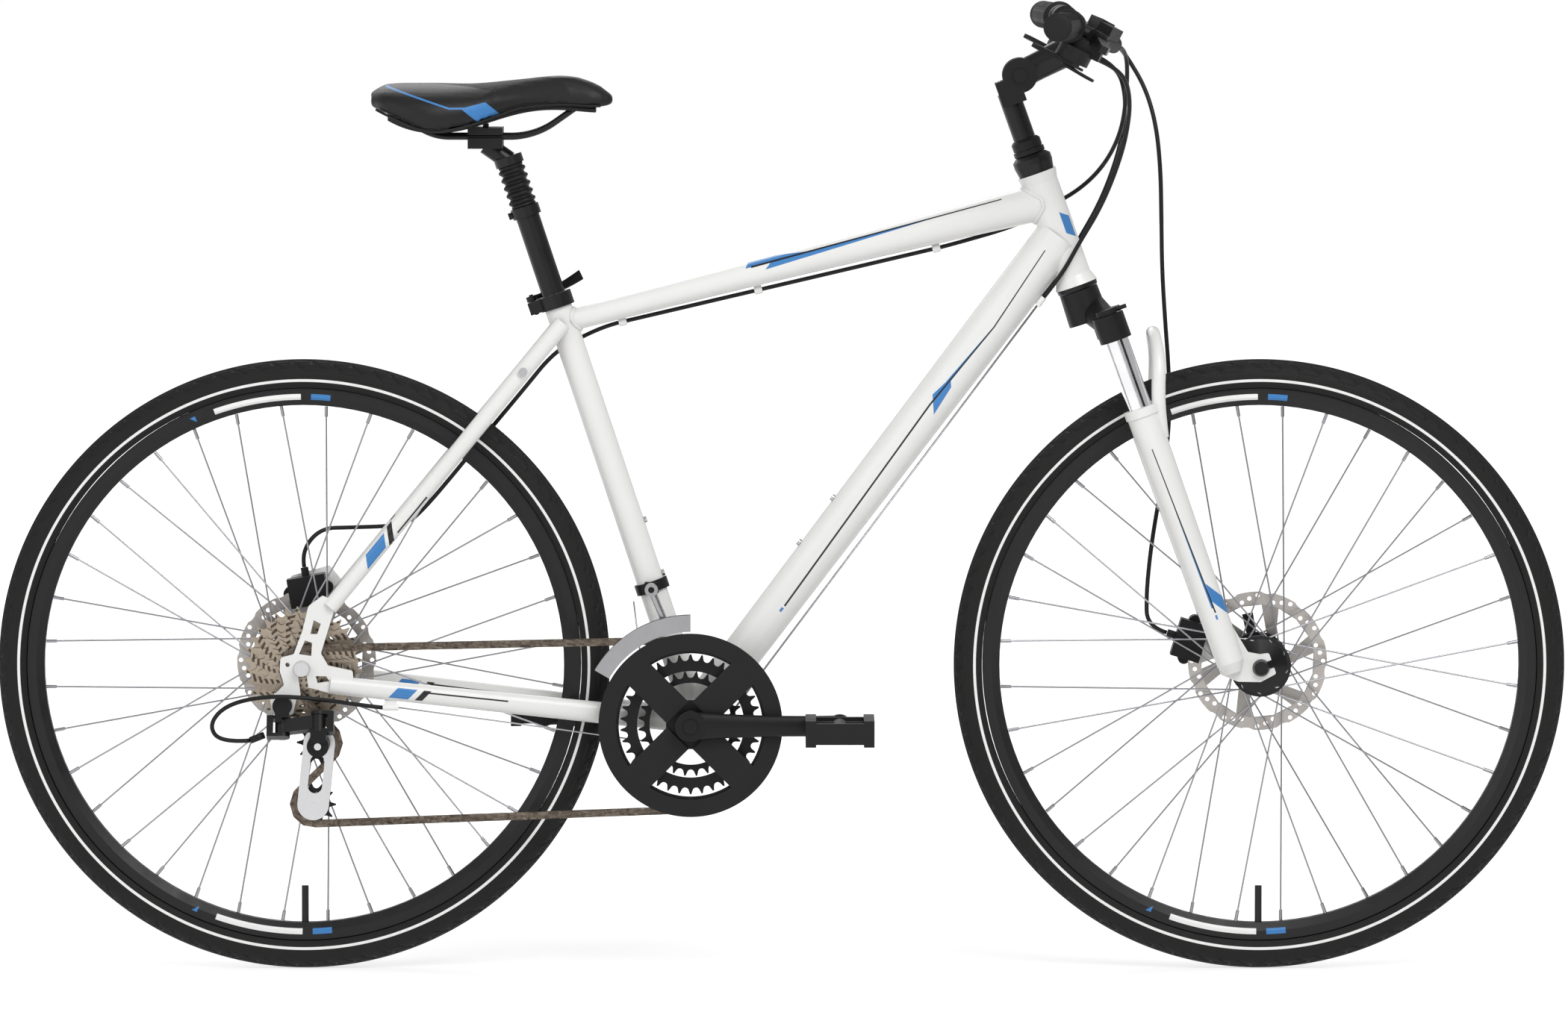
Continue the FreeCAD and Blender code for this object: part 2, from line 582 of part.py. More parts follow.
def crown():
    """The steerer, the forged crown and the sockets that hold the stanchions."""
    top = head_top + steer_up * float(size.cup_height + size.crown_gap + size.locknut_height)
    start = on_fork(size.lower_cup_height + size.crown_gap)
    steerer = rod("steerer_outer", size.steerer_d, start, top)
    bore = rod("steerer_bore", size.quill_d + 2 * size.slide_fit, on_fork(size.crown_bottom), top)
    hub = cone("crown_hub", size.cup_d, size.crown_hub_d + 8, size.crown_bottom - size.lower_cup_height
               - size.crown_gap, start, -steer_up)
    pieces = [steerer, hub]
    for side, sign in SIDES.items():
        centre = on_fork(size.socket_top, size.leg_ahead, sign * size.leg_half)
        pieces.append(cylinder(side + "_socket", size.socket_d, size.socket_bottom - size.socket_top,
                               centre, -steer_up))
        inner = on_fork((size.crown_bottom + size.lower_cup_height) / 2 + 4, size.leg_ahead * 0.3)
        outer = on_fork((size.socket_top + size.socket_bottom) / 2, size.leg_ahead, sign * size.leg_half)
        along = (outer - inner).normalize()
        pieces.append(tube_loft(side + "_crown_arm", [
            (inner, along, size.crown_arm_height + 8, size.crown_arm_height),
            (outer, along, size.crown_arm_height, size.crown_arm_height - 6)]))
    holes = [cylinder(side + "_socket_bore", size.stanchion_d, size.socket_bottom - size.socket_top - 4,
                      on_fork(size.socket_top + 4, size.leg_ahead, sign * size.leg_half), -steer_up)
             for side, sign in SIDES.items()]
    room = cylinder("lockout_room", size.lockout_d + 3, 4 * size.lockout_height,
                    on_fork(size.socket_top, size.leg_ahead, -size.leg_half), steer_up)
    node("fork_crown", cut("crown_forging", fuse("crown_blank", *pieces), bore, room, *holes))


def stanchions():
    wall = 2 * size.tube_wall
    tubes = []
    for side, sign in SIDES.items():
        top = on_fork(size.socket_top + 4, size.leg_ahead, sign * size.leg_half)
        length = size.stanchion_foot - size.socket_top - 4
        tubes.append(cut(side + "_stanchion",
                         cylinder(side + "_stanchion_outer", size.stanchion_d, length, top, -steer_up),
                         cylinder(side + "_stanchion_bore", size.stanchion_d - wall, length, top, -steer_up)))
    node("fork_stanchions", *tubes)


def lowers():
    """Both sliding legs with their arch, dropouts and brake posts."""
    pieces = []
    bores = []
    for side, sign in SIDES.items():
        top = on_fork(size.lowers_top, size.leg_ahead, sign * size.leg_half)
        length = fork_length - size.lowers_lift - size.lowers_top
        pieces.append(cone(side + "_leg", size.lowers_top_d, size.lowers_foot_d, length, top, -steer_up))
        pieces.append(cylinder(side + "_lip", size.lowers_top_d + size.lip_extra, size.lip_height, top, -steer_up))
        foot = on_fork(fork_length - size.lowers_lift, size.leg_ahead, sign * size.leg_half)
        pieces.append(cone(side + "_foot", size.lowers_foot_d, size.lowers_foot_d - 12, 12, foot, -steer_up))
        bores.append(cylinder(side + "_leg_bore", size.stanchion_d + 4 * size.slide_fit,
                              size.stanchion_foot + size.fork_travel + 40 - size.lowers_top,
                              top + steer_up * 30, -steer_up))
        middle = front_axle + Y * float(sign * (size.front_hub_width / 2 + size.fork_plate_thick / 2))
        turn = Rotation(steer_ahead, Y, steer_up, "XZY")
        slot = size.front_axle_d / 2 + 0.25
        pieces.append(plate(side + "_fork_end", [
            (-46, 66), (-18, 70), (-8, 22), (4, 15), (14, 13), (14, -12), (-6, -15), (-30, -6), (-46, 8)],
            size.fork_plate_thick, middle, [(0, 0, 2 * slot)],
            [[(0, -slot), (0, slot), (30, slot), (30, -slot)]], 2.5, turn))
    half = [on_fork(size.lowers_top + 40, size.leg_ahead + 12, size.leg_half),
            on_fork(size.lowers_top + 2, size.leg_ahead + 21, size.leg_half + 1),
            on_fork(size.lowers_top - size.arch_rise * 0.62, size.arch_ahead - 4, size.leg_half - 9),
            on_fork(size.lowers_top - size.arch_rise, size.arch_ahead, size.leg_half - 40)]
    route = half + [Vector(spot.x, -spot.y, spot.z) for spot in reversed(half)]
    pieces.append(shape("arch_bar", pipe(route, size.arch_d)))
    post = on_fork(fork_length - size.caliper_lift, size.leg_ahead - size.lowers_foot_d / 2 - 4,
                   size.front_rotor_plane + size.caliper_half + 4)
    pieces.append(box("caliper_post", 22, 10, 44, post, Rotation(steer_ahead, Y, steer_up, "XZY")))
    node("fork_lowers", cut("lowers_casting", fuse("lowers_blank", *pieces), *bores))


def lockout():
    """The knob on the right socket with its small lever."""
    seat = on_fork(size.socket_top - size.crown_gap, size.leg_ahead, -size.leg_half)
    knob = cylinder("lockout_cap", size.lockout_d, size.lockout_height, seat, steer_up)
    tip = seat + steer_ahead * float(size.lockout_lever) + steer_up * float(size.lockout_height / 2)
    blade = rod("lockout_blade", size.lockout_height - 1, seat + steer_up * float(size.lockout_height / 2), tip)
    node("fork_lockout_knob", fuse("lockout", knob, blade))


locknut()
crown()
stanchions()
lowers()
lockout()


# Stem, handlebar and controls
stem_pivot = (head_top + steer_up * float(size.pivot_up) + steer_ahead * float(size.pivot_ahead))
bar_centre = stem_pivot + point(size.stem_reach, 0, size.stem_rise)


def stem():
    """The quill with its forked head, and the extension that tilts between the ears."""
    foot = head_top - steer_up * float(size.quill_insert)
    nut_top = head_top + steer_up * float(size.cup_height + size.crown_gap + size.locknut_height)
    shaft = rod("quill_shaft", size.quill_d, foot, nut_top + steer_up * 5)
    neck = stem_pivot - steer_ahead * float(size.pivot_ahead) - steer_up * 14
    column = rod("quill_column", size.quill_column_d, nut_top + steer_up * float(size.crown_gap), neck)
    outer_width = size.ear_gap + 2 * size.ear_thick
    ears = cylinder("quill_ears", size.ear_d, outer_width, stem_pivot - Y * float(outer_width / 2), Y)
    yoke = box("quill_yoke", size.quill_column_d + 3, outer_width, size.ear_d - 10,
               neck + steer_ahead * 3, Rotation(steer_ahead, Y, steer_up, "XZY"))
    gap = cylinder("ear_gap", size.ear_d + 6, size.ear_gap, stem_pivot - Y * float(size.ear_gap / 2), Y)
    blank = cut("quill_head", fuse("quill_blank", column, ears, yoke), gap)
    pin = cylinder("pivot_pin", size.pivot_d, outer_width + 6, stem_pivot - Y * float(outer_width / 2 + 3), Y)
    caps = [cylinder(f"pivot_cap{sign}", size.pivot_d + 8, 4,
                     stem_pivot + Y * float(sign * outer_width / 2), Y * sign) for sign in (-1, 1)]
    node("stem_quill", fuse("quill", blank, shaft, pin, *caps))

    tongue_width = size.ear_gap - 0.8
    eye = cylinder("extension_eye", size.ear_d - 2, tongue_width, stem_pivot - Y * float(tongue_width / 2), Y)
    along = (bar_centre - stem_pivot).normalize()
    shoulder = stem_pivot + along * float(size.ear_d * 0.6)
    neck = tube_loft("extension_neck", [
        (stem_pivot + along * 8, along, size.ear_d - 8, tongue_width), (shoulder, along, size.ear_d - 8, tongue_width)])
    arm = tube_loft("extension_arm", [
        (shoulder, along, size.ear_d - 8, tongue_width),
        (bar_centre - along * 6, along, size.bar_clamp_d - 6, size.bar_clamp_width - 6)])
    ring = cylinder("extension_clamp", size.bar_clamp_d, size.bar_clamp_width,
                    bar_centre - Y * float(size.bar_clamp_width / 2), Y)
    eye_bore = cylinder("extension_eye_bore", size.pivot_d + 2 * size.slide_fit, tongue_width,
                        stem_pivot - Y * float(tongue_width / 2), Y)
    bar_bore = cylinder("extension_bar_bore", size.bar_centre_d, size.bar_clamp_width,
                        bar_centre - Y * float(size.bar_clamp_width / 2), Y)
    body = cut("extension_body", fuse("extension_blank", eye, neck, arm, ring), eye_bore, bar_bore)
    up = Vector(-along.z, 0, along.x)
    bolts = []
    for above in (-1, 1):
        for across in (-1, 1):
            seat = (bar_centre + along * float(size.bar_clamp_d / 2 - 3) + up * above * 15
                    + Y * float(across * (size.bar_clamp_width / 2 - 8)))
            bolts.append(cylinder(f"face_bolt{above}{across}", size.face_bolt_d, 6, seat, along))
    node("stem_extension", cut("extension_faced", body, *bolts), *bolts)


bar_end = bar_centre + point(-size.bar_sweep, size.bar_half, size.bar_rise)
bar_knee = bar_centre + point(-size.bar_sweep * 0.08, size.bar_knee_out, size.bar_rise - 2)


def across(spot):
    """The same point on the other side of the bike."""
    return Vector(spot.x, -spot.y, spot.z)


def handlebar():
    half = [bar_end, bar_knee, bar_centre + Y * float(size.bar_knee_in)]
    route = half + [across(spot) for spot in reversed(half)]
    sleeve = Part.makeCylinder(float(size.bar_centre_d / 2), float(size.bar_clamp_width + 10),
                               bar_centre - Y * float(size.bar_clamp_width / 2 + 5), Y)
    node("handlebar", shape("bar", pipe(route, size.bar_d).fuse(sleeve).cut(pipe(route, size.bar_bore))))


def bar_frame(sign):
    """Directions at the grip of one side: outward along the bar, forward in the levers' plane, and up from it."""
    out = (bar_end - bar_knee).normalize()
    out = Vector(out.x, out.y * sign, out.z)
    dip = math.radians(float(size.control_dip))
    forward = Vector(math.cos(dip), 0, -math.sin(dip))
    forward = (forward - out * forward.dot(out)).normalize()
    up = out.cross(forward) * -sign
    end = Vector(bar_end.x, bar_end.y * sign, bar_end.z)
    return SimpleNamespace(out=out, forward=forward, up=up, end=end,
                           at=lambda inward, ahead, above: end - out * float(inward)
                           + forward * float(ahead) + up * float(above))


def grips():
    made = []
    for side, sign in SIDES.items():
        place = bar_frame(sign)
        start = place.at(size.grip_length, 0, 0)
        sleeve = rod(side + "_grip_sleeve", size.grip_d, start, place.at(-2, 0, 0))
        flange = cylinder(side + "_grip_flange", size.grip_flange_d, size.grip_flange_width, start, place.out)
        bore = rod(side + "_grip_bore", size.bar_d, start, place.end)
        made.append(cut(side + "_grip", fuse(side + "_grip_blank", sleeve, flange), bore))
    node("grips", *made)


def controls():
    """Brake cylinders and shifter pods on their clamp rings, with their levers."""
    fixed = []
    for side, sign in SIDES.items():
        place = bar_frame(sign)
        lever_turn = Rotation(place.out, place.forward.cross(place.out), place.forward, "XZY")
        ring_width = size.clamp_ring_width
        bar = rod(side + "_bar_tool", size.bar_d, place.at(size.brake_clamp_in + 20, 0, 0), place.end)
        brake_ring = cylinder(side + "_brake_ring", size.clamp_ring_d, ring_width + 4,
                              place.at(size.brake_clamp_in + ring_width / 2 + 2, 0, 0), place.out)
        neck = rod(side + "_brake_neck", size.cylinder_d - 4, place.at(size.brake_clamp_in, 11, 0),
                   place.at(size.brake_clamp_in, size.cylinder_ahead, 0))
        cylinder_out = place.at(size.brake_clamp_in - 12, size.cylinder_ahead - 4, 0)
        cylinder_in = place.at(size.brake_clamp_in + size.cylinder_length, size.cylinder_ahead + 14, 0)
        master = rod(side + "_master", size.cylinder_d, cylinder_out, cylinder_in)
        nipple = rod(side + "_hose_nut", size.hose_nut_d, cylinder_in, cylinder_in
                     + (cylinder_in - cylinder_out).normalize() * 10)
        tank = box(side + "_reservoir", size.cylinder_length * 0.75, size.cylinder_d - 2, size.cylinder_d * 0.7,
                   (cylinder_in + cylinder_out) * 0.5 + place.up * float(size.cylinder_d * 0.6),
                   Rotation((cylinder_out - cylinder_in), Vector(), place.up, "XZY"))
        pivot = place.at(size.brake_clamp_in - 20, size.cylinder_ahead + 2, 0)
        hinge = [cylinder(f"{side}_hinge{level}", 18, 4, pivot + place.up * float(level * (size.blade_thick / 2 + 0.4)),
                          place.up * level) for level in (-1, 1)]
        links = [box(f"{side}_hinge_arm{level}", 26, 16, 4, pivot - place.out * 10
                     + place.up * float(level * (size.blade_thick / 2 + 2.4)),
                     Rotation(place.out, Vector(), place.up, "XZY")) for level in (-1, 1)]
        hinge_pin = cylinder(side + "_hinge_pin", size.hinge_pin_d, size.blade_thick + 8,
                             pivot - place.up * float(size.blade_thick / 2 + 4), place.up)
        sweep_room = cylinder(side + "_blade_room", 24, size.blade_thick + 0.8,
                              pivot - place.up * float(size.blade_thick / 2 + 0.4), place.up)
        brake = fuse(side + "_brake", cut(side + "_brake_body",
                                          fuse(side + "_brake_blank", brake_ring, neck, master, nipple, tank,
                                               *hinge, *links), bar, sweep_room), hinge_pin)
        fixed.append(brake)

        reach = size.lever_reach
        blade = plate(side + "_blade", [
            (-8, -8), (-4, 8), (14, 13), (40, 14), (reach - 12, 25), (reach, 24), (reach + 1, 15), (reach - 14, 13),
            (44, 2), (20, -1), (8, -8)], size.blade_thick, pivot,
            [(0, 0, size.hinge_pin_d + 2 * size.slide_fit)], (), 3, lever_turn)
        node(side + "_brake_lever", blade)

        pod_at = place.at(size.shift_clamp_in, size.pod_ahead, -size.pod_drop)
        pod = cylinder(side + "_pod", size.pod_d, size.pod_height, pod_at, -place.up)
        window = box(side + "_gear_window", size.pod_d * 0.62, size.pod_d * 0.9, size.pod_height,
                     pod_at + place.out * -6 + place.forward * 10 + place.up * 4,
                     Rotation(place.out, Vector(), place.up, "XZY"))
        shift_ring = cylinder(side + "_shift_ring", size.clamp_ring_d, ring_width,
                              place.at(size.shift_clamp_in + ring_width / 2, 0, 0), place.out)
        collar = box(side + "_pod_neck", ring_width, 22, size.pod_drop,
                     place.at(size.shift_clamp_in, size.pod_ahead - 6, -size.pod_drop / 2 - 5),
                     Rotation(place.out, Vector(), place.up, "XZY"))
        pivot_low = pod_at - place.up * float(size.pod_height)
        post = cylinder(side + "_pod_post", size.hinge_pin_d, 10, pivot_low, -place.up)
        fixed.append(fuse(side + "_shifter", cut(side + "_shifter_body", fuse(
            side + "_shifter_blank", pod, window, shift_ring, collar), bar), post))
        paddle = plate(side + "_paddle", [
            (-9, -9), (-9, 9), (2, 12), (14, 4), (16, -14), (26, -40), (18, -46), (6, -40), (4, -14)],
            5, pivot_low - place.up * 3, [(0, 0, size.hinge_pin_d + 2 * size.slide_fit)], (), 3, lever_turn)
        trigger = plate(side + "_trigger", [
            (-7, -7), (-7, 7), (6, 14), (20, 36), (28, 34), (26, 24), (12, 6), (7, -7)],
            3, pivot_low - place.up * 8, [(0, 0, size.hinge_pin_d + 2 * size.slide_fit)], (), 2.5, lever_turn)
        node(side + "_shift_lever", paddle, trigger)
    node("control_bodies", *fixed)


stem()
handlebar()
grips()
controls()


# Wheels
def ring_of(at, radius, angle, side=0):
    """A point on a circle round a wheel's axis, by its angle from straight ahead."""
    turn = math.radians(angle)
    return at + Vector(float(radius) * math.cos(turn), float(side), float(radius) * math.sin(turn))


def polar_pocket(body, count, circles=(), windows=()):
    """Cut circles and windows through a plate, and repeat them round its axis."""
    drawing = new_sketch(body, "XZ_Plane")
    for x, z, diameter in circles:
        draw_circle(drawing, x, z, diameter)
    for corners in windows:
        draw_polygon(drawing, corners)
    opening = pocket(body, drawing)
    pattern = body.newObject("PartDesign::PolarPattern", body.Name + "_repeat")
    pattern.Originals = [opening]
    pattern.Axis = (plane_of(body, "Y_Axis"), [""])
    pattern.Angle = 360
    pattern.Occurrences = count
    body.Tip = pattern
    return pattern


def rotor(label, at):
    """A brake disc: a wavy track with cooling holes on slanted arms."""
    body = doc.addObject("PartDesign::Body", label + "_disc")
    drawing = new_sketch(body, "XZ_Plane")
    draw_circle(drawing, 0, 0, size.rotor_d)
    draw_circle(drawing, 0, 0, size.rotor_bore_d)
    pad(body, drawing, size.rotor_thick)
    radius = size.rotor_d / 2
    inner = size.rotor_d / 2 - size.rotor_track

    def polar(distance, angle):
        turn = math.radians(angle)
        return distance * math.cos(turn), distance * math.sin(turn)

    window = [polar(size.rotor_hub_d / 2, 6), polar(inner, 26), polar(inner, 47), polar(inner, 68),
              polar(size.rotor_hub_d / 2, 44)]
    polar_pocket(body, 6, [], [window])
    polar_pocket(body, 6, [(*polar(size.rotor_bolt_circle / 2, 25), size.rotor_bolt_d)])
    holes = [(*polar(radius - size.rotor_track * (0.3 + 0.2 * step), 7.5 * step), size.rotor_hole_d)
             for step in range(3)]
    polar_pocket(body, 12, holes)
    polar_pocket(body, 12, [(*polar(radius + size.rotor_wave_d / 2 - size.rotor_wave, 22), size.rotor_wave_d)])
    body.Placement = Placement(at, Rotation())
    node(label, body)


def tyre_and_rim(label, at):
    section = size.tyre_width
    crown_radius = tyre_radius - section / 2
    casing = torus(label + "_casing", 2 * crown_radius, section, at)
    air = torus(label + "_air", 2 * crown_radius, section - 2 * size.tyre_wall, at)
    seat = cylinder(label + "_seat", 2 * size.rim_radius, 2 * section, at - Y * float(section), Y)
    node(label + "_tyre", cut(label + "_tyre_body", casing, air, seat))
    half = size.rim_width / 2
    wall = size.rim_wall
    inner = size.rim_radius - size.rim_depth
    bed = size.rim_radius - size.rim_hook
    node(label + "_rim", turned(label + "_rim_body", [
        (inner, -half / 2), (bed - wall, -half), (size.rim_radius, -half), (size.rim_radius, wall - half),
        (bed, wall - half), (bed, half - wall), (size.rim_radius, half - wall), (size.rim_radius, half),
        (bed - wall, half), (inner, half / 2)], at),
        cylinder(label + "_valve", size.valve_d, size.valve_length, at - Z * float(inner), Z))


def spokes(label, at, left_flange, right_flange):
    """Crossed spokes: each runs from a flange hole to a nipple at the rim."""
    made = []
    count = int(float(size.spoke_count))
    rim_seat = float(size.rim_radius - size.rim_depth)
    hole_radius = float(size.flange_d / 2 - size.flange_edge)
    for index in range(count):
        left = index % 2
        lead = 1 if (index // 2) % 2 else -1
        rim_angle = 360 * (index + 0.5) / count
        hub_angle = rim_angle + lead * float(size.spoke_cross)
        flange = float(left_flange if left else -right_flange)
        shift = lead * float(size.spoke_d) * 0.6
        start = ring_of(at, hole_radius, hub_angle, flange + shift)
        end = ring_of(at, rim_seat - float(size.nipple_gap), rim_angle, 3 if left else -3)
        run = (end - start).normalize()
        wire = Part.makeCylinder(float(size.spoke_d) / 2, (end - start).Length, start, run)
        seat = end - run * float(size.nipple_length)
        nipple = Part.makeCylinder(float(size.nipple_d) / 2, float(size.nipple_length), seat, run)
        made.append(wire.fuse(nipple))
    return node(label + "_spokes", shape(label + "_spoke_set", Part.Compound(made)))


def front_hub(wires):
    bore = size.front_axle_d / 2 + size.bearing_fit
    face = size.front_rotor_plane - size.rotor_thick / 2
    end = size.front_hub_width / 2 - 3
    rim = size.flange_d / 2
    right = size.front_right_flange
    left = size.front_left_flange
    thick = size.flange_thick / 2
    shell = turned("front_hub_shell", [
        (bore, -end), (size.hub_end_d / 2, -end), (size.hub_end_d / 2, -right - 8), (rim - 4, -right - thick),
        (rim, -right - thick), (rim, thick - right), (rim - 4, thick - right), (size.hub_barrel_d / 2, 10 - right),
        (size.hub_barrel_d / 2, left - 10), (rim - 4, left - thick), (rim, left - thick), (rim, left + thick),
        (rim - 4, left + thick), (size.rotor_hub_d / 2, left + 5), (size.rotor_hub_d / 2, face),
        (size.rotor_bore_d / 2 - 1, face), (size.hub_end_d / 2, end), (bore, end)], front_axle)
    node("front_hub", cut("front_hub_drilled", shell, wires))


def rear_hub(wires):
    bore = size.rear_axle_d / 2 + size.bearing_fit
    face = size.rear_rotor_plane - size.rotor_thick / 2
    end = size.rear_hub_width / 2 - 3
    rim = size.flange_d / 2
    right = size.rear_right_flange
    left = size.rear_left_flange
    thick = size.flange_thick / 2
    shell = turned("rear_hub_shell", [
        (bore, -right - 2), (size.hub_barrel_d / 2, -right - 2), (rim, -right - thick),
        (rim, thick - right), (rim - 4, thick - right), (size.hub_barrel_d / 2 + 4, 10 - right),
        (size.hub_barrel_d / 2 + 2, left - 10), (rim - 4, left - thick), (rim, left - thick), (rim, left + thick),
        (rim - 4, left + thick), (size.rotor_hub_d / 2, left + 5), (size.rotor_hub_d / 2, face),
        (size.rotor_bore_d / 2 - 1, face), (size.hub_end_d / 2, end), (bore, end)], rear_axle)
    node("rear_hub", cut("rear_hub_drilled", shell, wires))


def axle(label, at, diameter, width, plate_thick, lever_half):
    """The fixed axle with its locknuts, the skewer's nut on the right and the cam housing on the left."""
    half = width / 2
    gap = size.crown_gap
    outside = half + plate_thick
    shaft = cylinder(label + "_shaft", diameter, 2 * outside, at - Y * float(outside), Y)
    pieces = [shaft]
    for sign in (-1, 1):
        pieces.append(cylinder(f"{label}_locknut{sign}", diameter + 8, 3 - gap,
                               at + Y * float(sign * (half - 3 + gap)), Y * sign))
        pieces.append(cone(f"{label}_cap{sign}", size.skewer_cap_d, size.skewer_cap_d - 4, size.skewer_cap_length,
                           at + Y * float(sign * outside), Y * sign))
    stem_end = outside + size.skewer_cap_length
    pieces.append(cylinder(label + "_cam_post", size.hinge_pin_d, lever_half + 6,
                           at + Y * float(stem_end), Y))
    node(label + "_axle", fuse(label + "_axle_body", *pieces))
    pivot = at + Y * float(stem_end + 1)
    hub = cylinder(label + "_cam", 14, lever_half, pivot, Y)
    bore = cylinder(label + "_cam_bore", size.hinge_pin_d + 2 * size.slide_fit, lever_half, pivot, Y)
    tip = pivot + Vector(-10, float(lever_half) / 2 + 3, float(size.skewer_lever))
    grip = pivot + Y * float(lever_half / 2)
    along = (tip - grip).normalize()
    arm = tube_loft(label + "_lever_arm", [
        (grip, along, 8, 8), ((grip + tip) * 0.5 + Y * 3, along, 11, 6), (tip, along, 13, 5)])
    node(label + "_axle_lever", cut(label + "_lever", fuse(label + "_lever_blank", hub, arm), bore))


def caliper(label, centre, at, rotor_plane, lean, *holders):
    """A hydraulic caliper over the rotor's rim, fitted to the pieces that hold it."""
    turn = Rotation(Y, lean)
    half = size.caliper_half
    side = Vector(centre.x, float(rotor_plane), centre.z)
    width = half + size.caliper_inner
    body = box(label + "_block", size.caliper_length, width, size.caliper_height,
               side + Y * float(half - width / 2), turn)
    piston = cylinder(label + "_piston", size.caliper_height, 5, side + Y * float(half), Y)
    ears = [cylinder(f"{label}_ear{sign}", size.caliper_ear_d, 2 * half - 8,
                     side + turn.multVec(X * float(sign * size.caliper_length / 2)) + Y * 4, Y) for sign in (-1, 1)]
    nut = turn.multVec(Vector(0, 0, float(size.caliper_height / 2))) * 0.75
    banjo = cylinder(label + "_banjo", size.hose_nut_d, size.banjo_length, side + nut + Y * float(half / 2), nut)
    slot = cylinder(label + "_slot", size.rotor_d + 6, size.rotor_thick + 2.4,
                    Vector(at.x, float(rotor_plane - size.rotor_thick / 2 - 1.2), at.z), Y)
    node(label, cut(label + "_body", fuse(label + "_blank", body, piston, *ears, banjo), slot, *holders))


def wheels():
    tyre_and_rim("front", front_axle)
    tyre_and_rim("rear", rear_axle)
    front_hub(spokes("front", front_axle, size.front_left_flange, size.front_right_flange))
    rear_hub(spokes("rear", rear_axle, size.rear_left_flange, size.rear_right_flange))
    rotor("front_rotor", front_axle + Y * float(size.front_rotor_plane))
    rotor("rear_rotor", rear_axle + Y * float(size.rear_rotor_plane))
    axle("front", front_axle, size.front_axle_d, size.front_hub_width, size.fork_plate_thick, size.skewer_hub)
    axle("rear", rear_axle, size.rear_axle_d, size.rear_hub_width, size.dropout_thick, size.skewer_hub)
    caliper("front_caliper", from_front(-size.front_caliper_back, size.front_caliper_up), front_axle,
            size.front_rotor_plane, -73, doc.getObject("lowers_casting"))
    caliper("rear_caliper", from_rear(size.rear_caliper_ahead, size.rear_caliper_up), rear_axle,
            size.rear_rotor_plane, -10, doc.getObject("left_dropout"),
            doc.getObject("left_seatstay_outer"))


wheels()


# Drive: chainset, cassette, chain and derailleurs
CASSETTE_TEETH = (11, 13, 15, 18, 21, 24, 28, 32)


def pitch_radius(teeth):
    return float(size.chain_pitch) / (2 * math.sin(math.pi / teeth))


def polar_spot(radius, angle):
    return Vector(radius * math.cos(angle), 0, radius * math.sin(angle))


def toothed_outline(teeth, phase):
    """The rim of a sprocket round the origin; phase is the angle of one roller seat."""
    radius = pitch_radius(teeth)
    seat = float(size.roller_d) / 2 + float(size.roller_fit)
    tip = radius + float(size.tooth_height)
    half_land = float(size.tooth_land) / 2 / tip
    step = 2 * math.pi / teeth
    edges = []
    first = last = None
    for index in range(teeth):
        angle = phase + index * step
        out = polar_spot(1, angle)
        along = Vector(-out.z, 0, out.x)
        middle = out * radius
        start = middle + (out * -0.5 - along * 0.866) * seat
        end = middle + (out * -0.5 + along * 0.866) * seat
        if last:
            edges.append(Part.LineSegment(last, start).toShape())
        edges.append(Part.Arc(start, middle - out * seat, end).toShape())
        land = [polar_spot(tip, angle + step / 2 + way * half_land) for way in (-1, 1)]
        edges.append(Part.LineSegment(end, land[0]).toShape())
        edges.append(Part.LineSegment(land[0], land[1]).toShape())
        first = first or start
        last = land[1]
    edges.append(Part.LineSegment(last, first).toShape())
    return Part.Wire(edges)


def hole_ring(radius, diameter, count, start=0.0):
    return [Part.Wire(Part.Circle(polar_spot(float(radius), start + 2 * math.pi * index / count), Y,
                                  float(diameter) / 2).toShape()) for index in range(count)]


def fingered_outline(rim_d, foot_d):
    """The inside edge of a chainring: a circle with four fingers that reach in to the bolts."""
    half = float(size.finger_width) / 2
    foot = float(foot_d) / 2
    reach = math.sqrt(float(rim_d) ** 2 / 4 - half ** 2)
    edges = []
    first = last = None
    for quarter in range(4):
        turn = math.radians(45 + 90 * quarter)
        out = polar_spot(1, turn)
        along = Vector(-out.z, 0, out.x) * half
        corners = [out * reach - along, out * foot - along, out * foot + along, out * reach + along]
        if last:
            edges.append(Part.Arc(last, polar_spot(float(rim_d) / 2, turn - math.pi / 4), corners[0]).toShape())
        edges.extend(Part.LineSegment(*pair).toShape() for pair in zip(corners, corners[1:]))
        first = first or corners[0]
        last = corners[3]
    edges.append(Part.Arc(last, polar_spot(float(rim_d) / 2, 0), first).toShape())
    return Part.Wire(edges)


def sprocket(teeth, phase, thickness, at, *inside):
    """A toothed disc in the XZ plane with its middle at a point, open at the given edges inside it."""
    rims = [toothed_outline(teeth, phase), *inside]
    face = Part.makeFace(rims, "Part::FaceMakerBullseye")
    solid = face.extrude(Y * float(thickness))
    solid.translate(at - Y * (float(thickness) / 2))
    return solid


# The chain's route: circles in order, each with its centre, teeth and sense of turn seen from the chain side.
chain_y = -float(size.chain_plane)
guide_at = Vector(rear_axle.x + float(size.guide_ahead), chain_y, rear_axle.z - float(size.guide_drop))


def tension_at(angle):
    """The lower pulley's centre when the cage hangs at an angle, in degrees, behind straight down."""
    turn = math.radians(angle)
    return guide_at + Vector(-math.sin(turn), 0, -math.cos(turn)) * float(size.cage_length)


def chain_circles(angle):
    return [(Vector(bracket.x, chain_y, bracket.z), pitch_radius(48), 1),
            (Vector(rear_axle.x, chain_y, rear_axle.z), pitch_radius(11), 1),
            (guide_at, pitch_radius(11), -1),
            (tension_at(angle), pitch_radius(11), 1)]


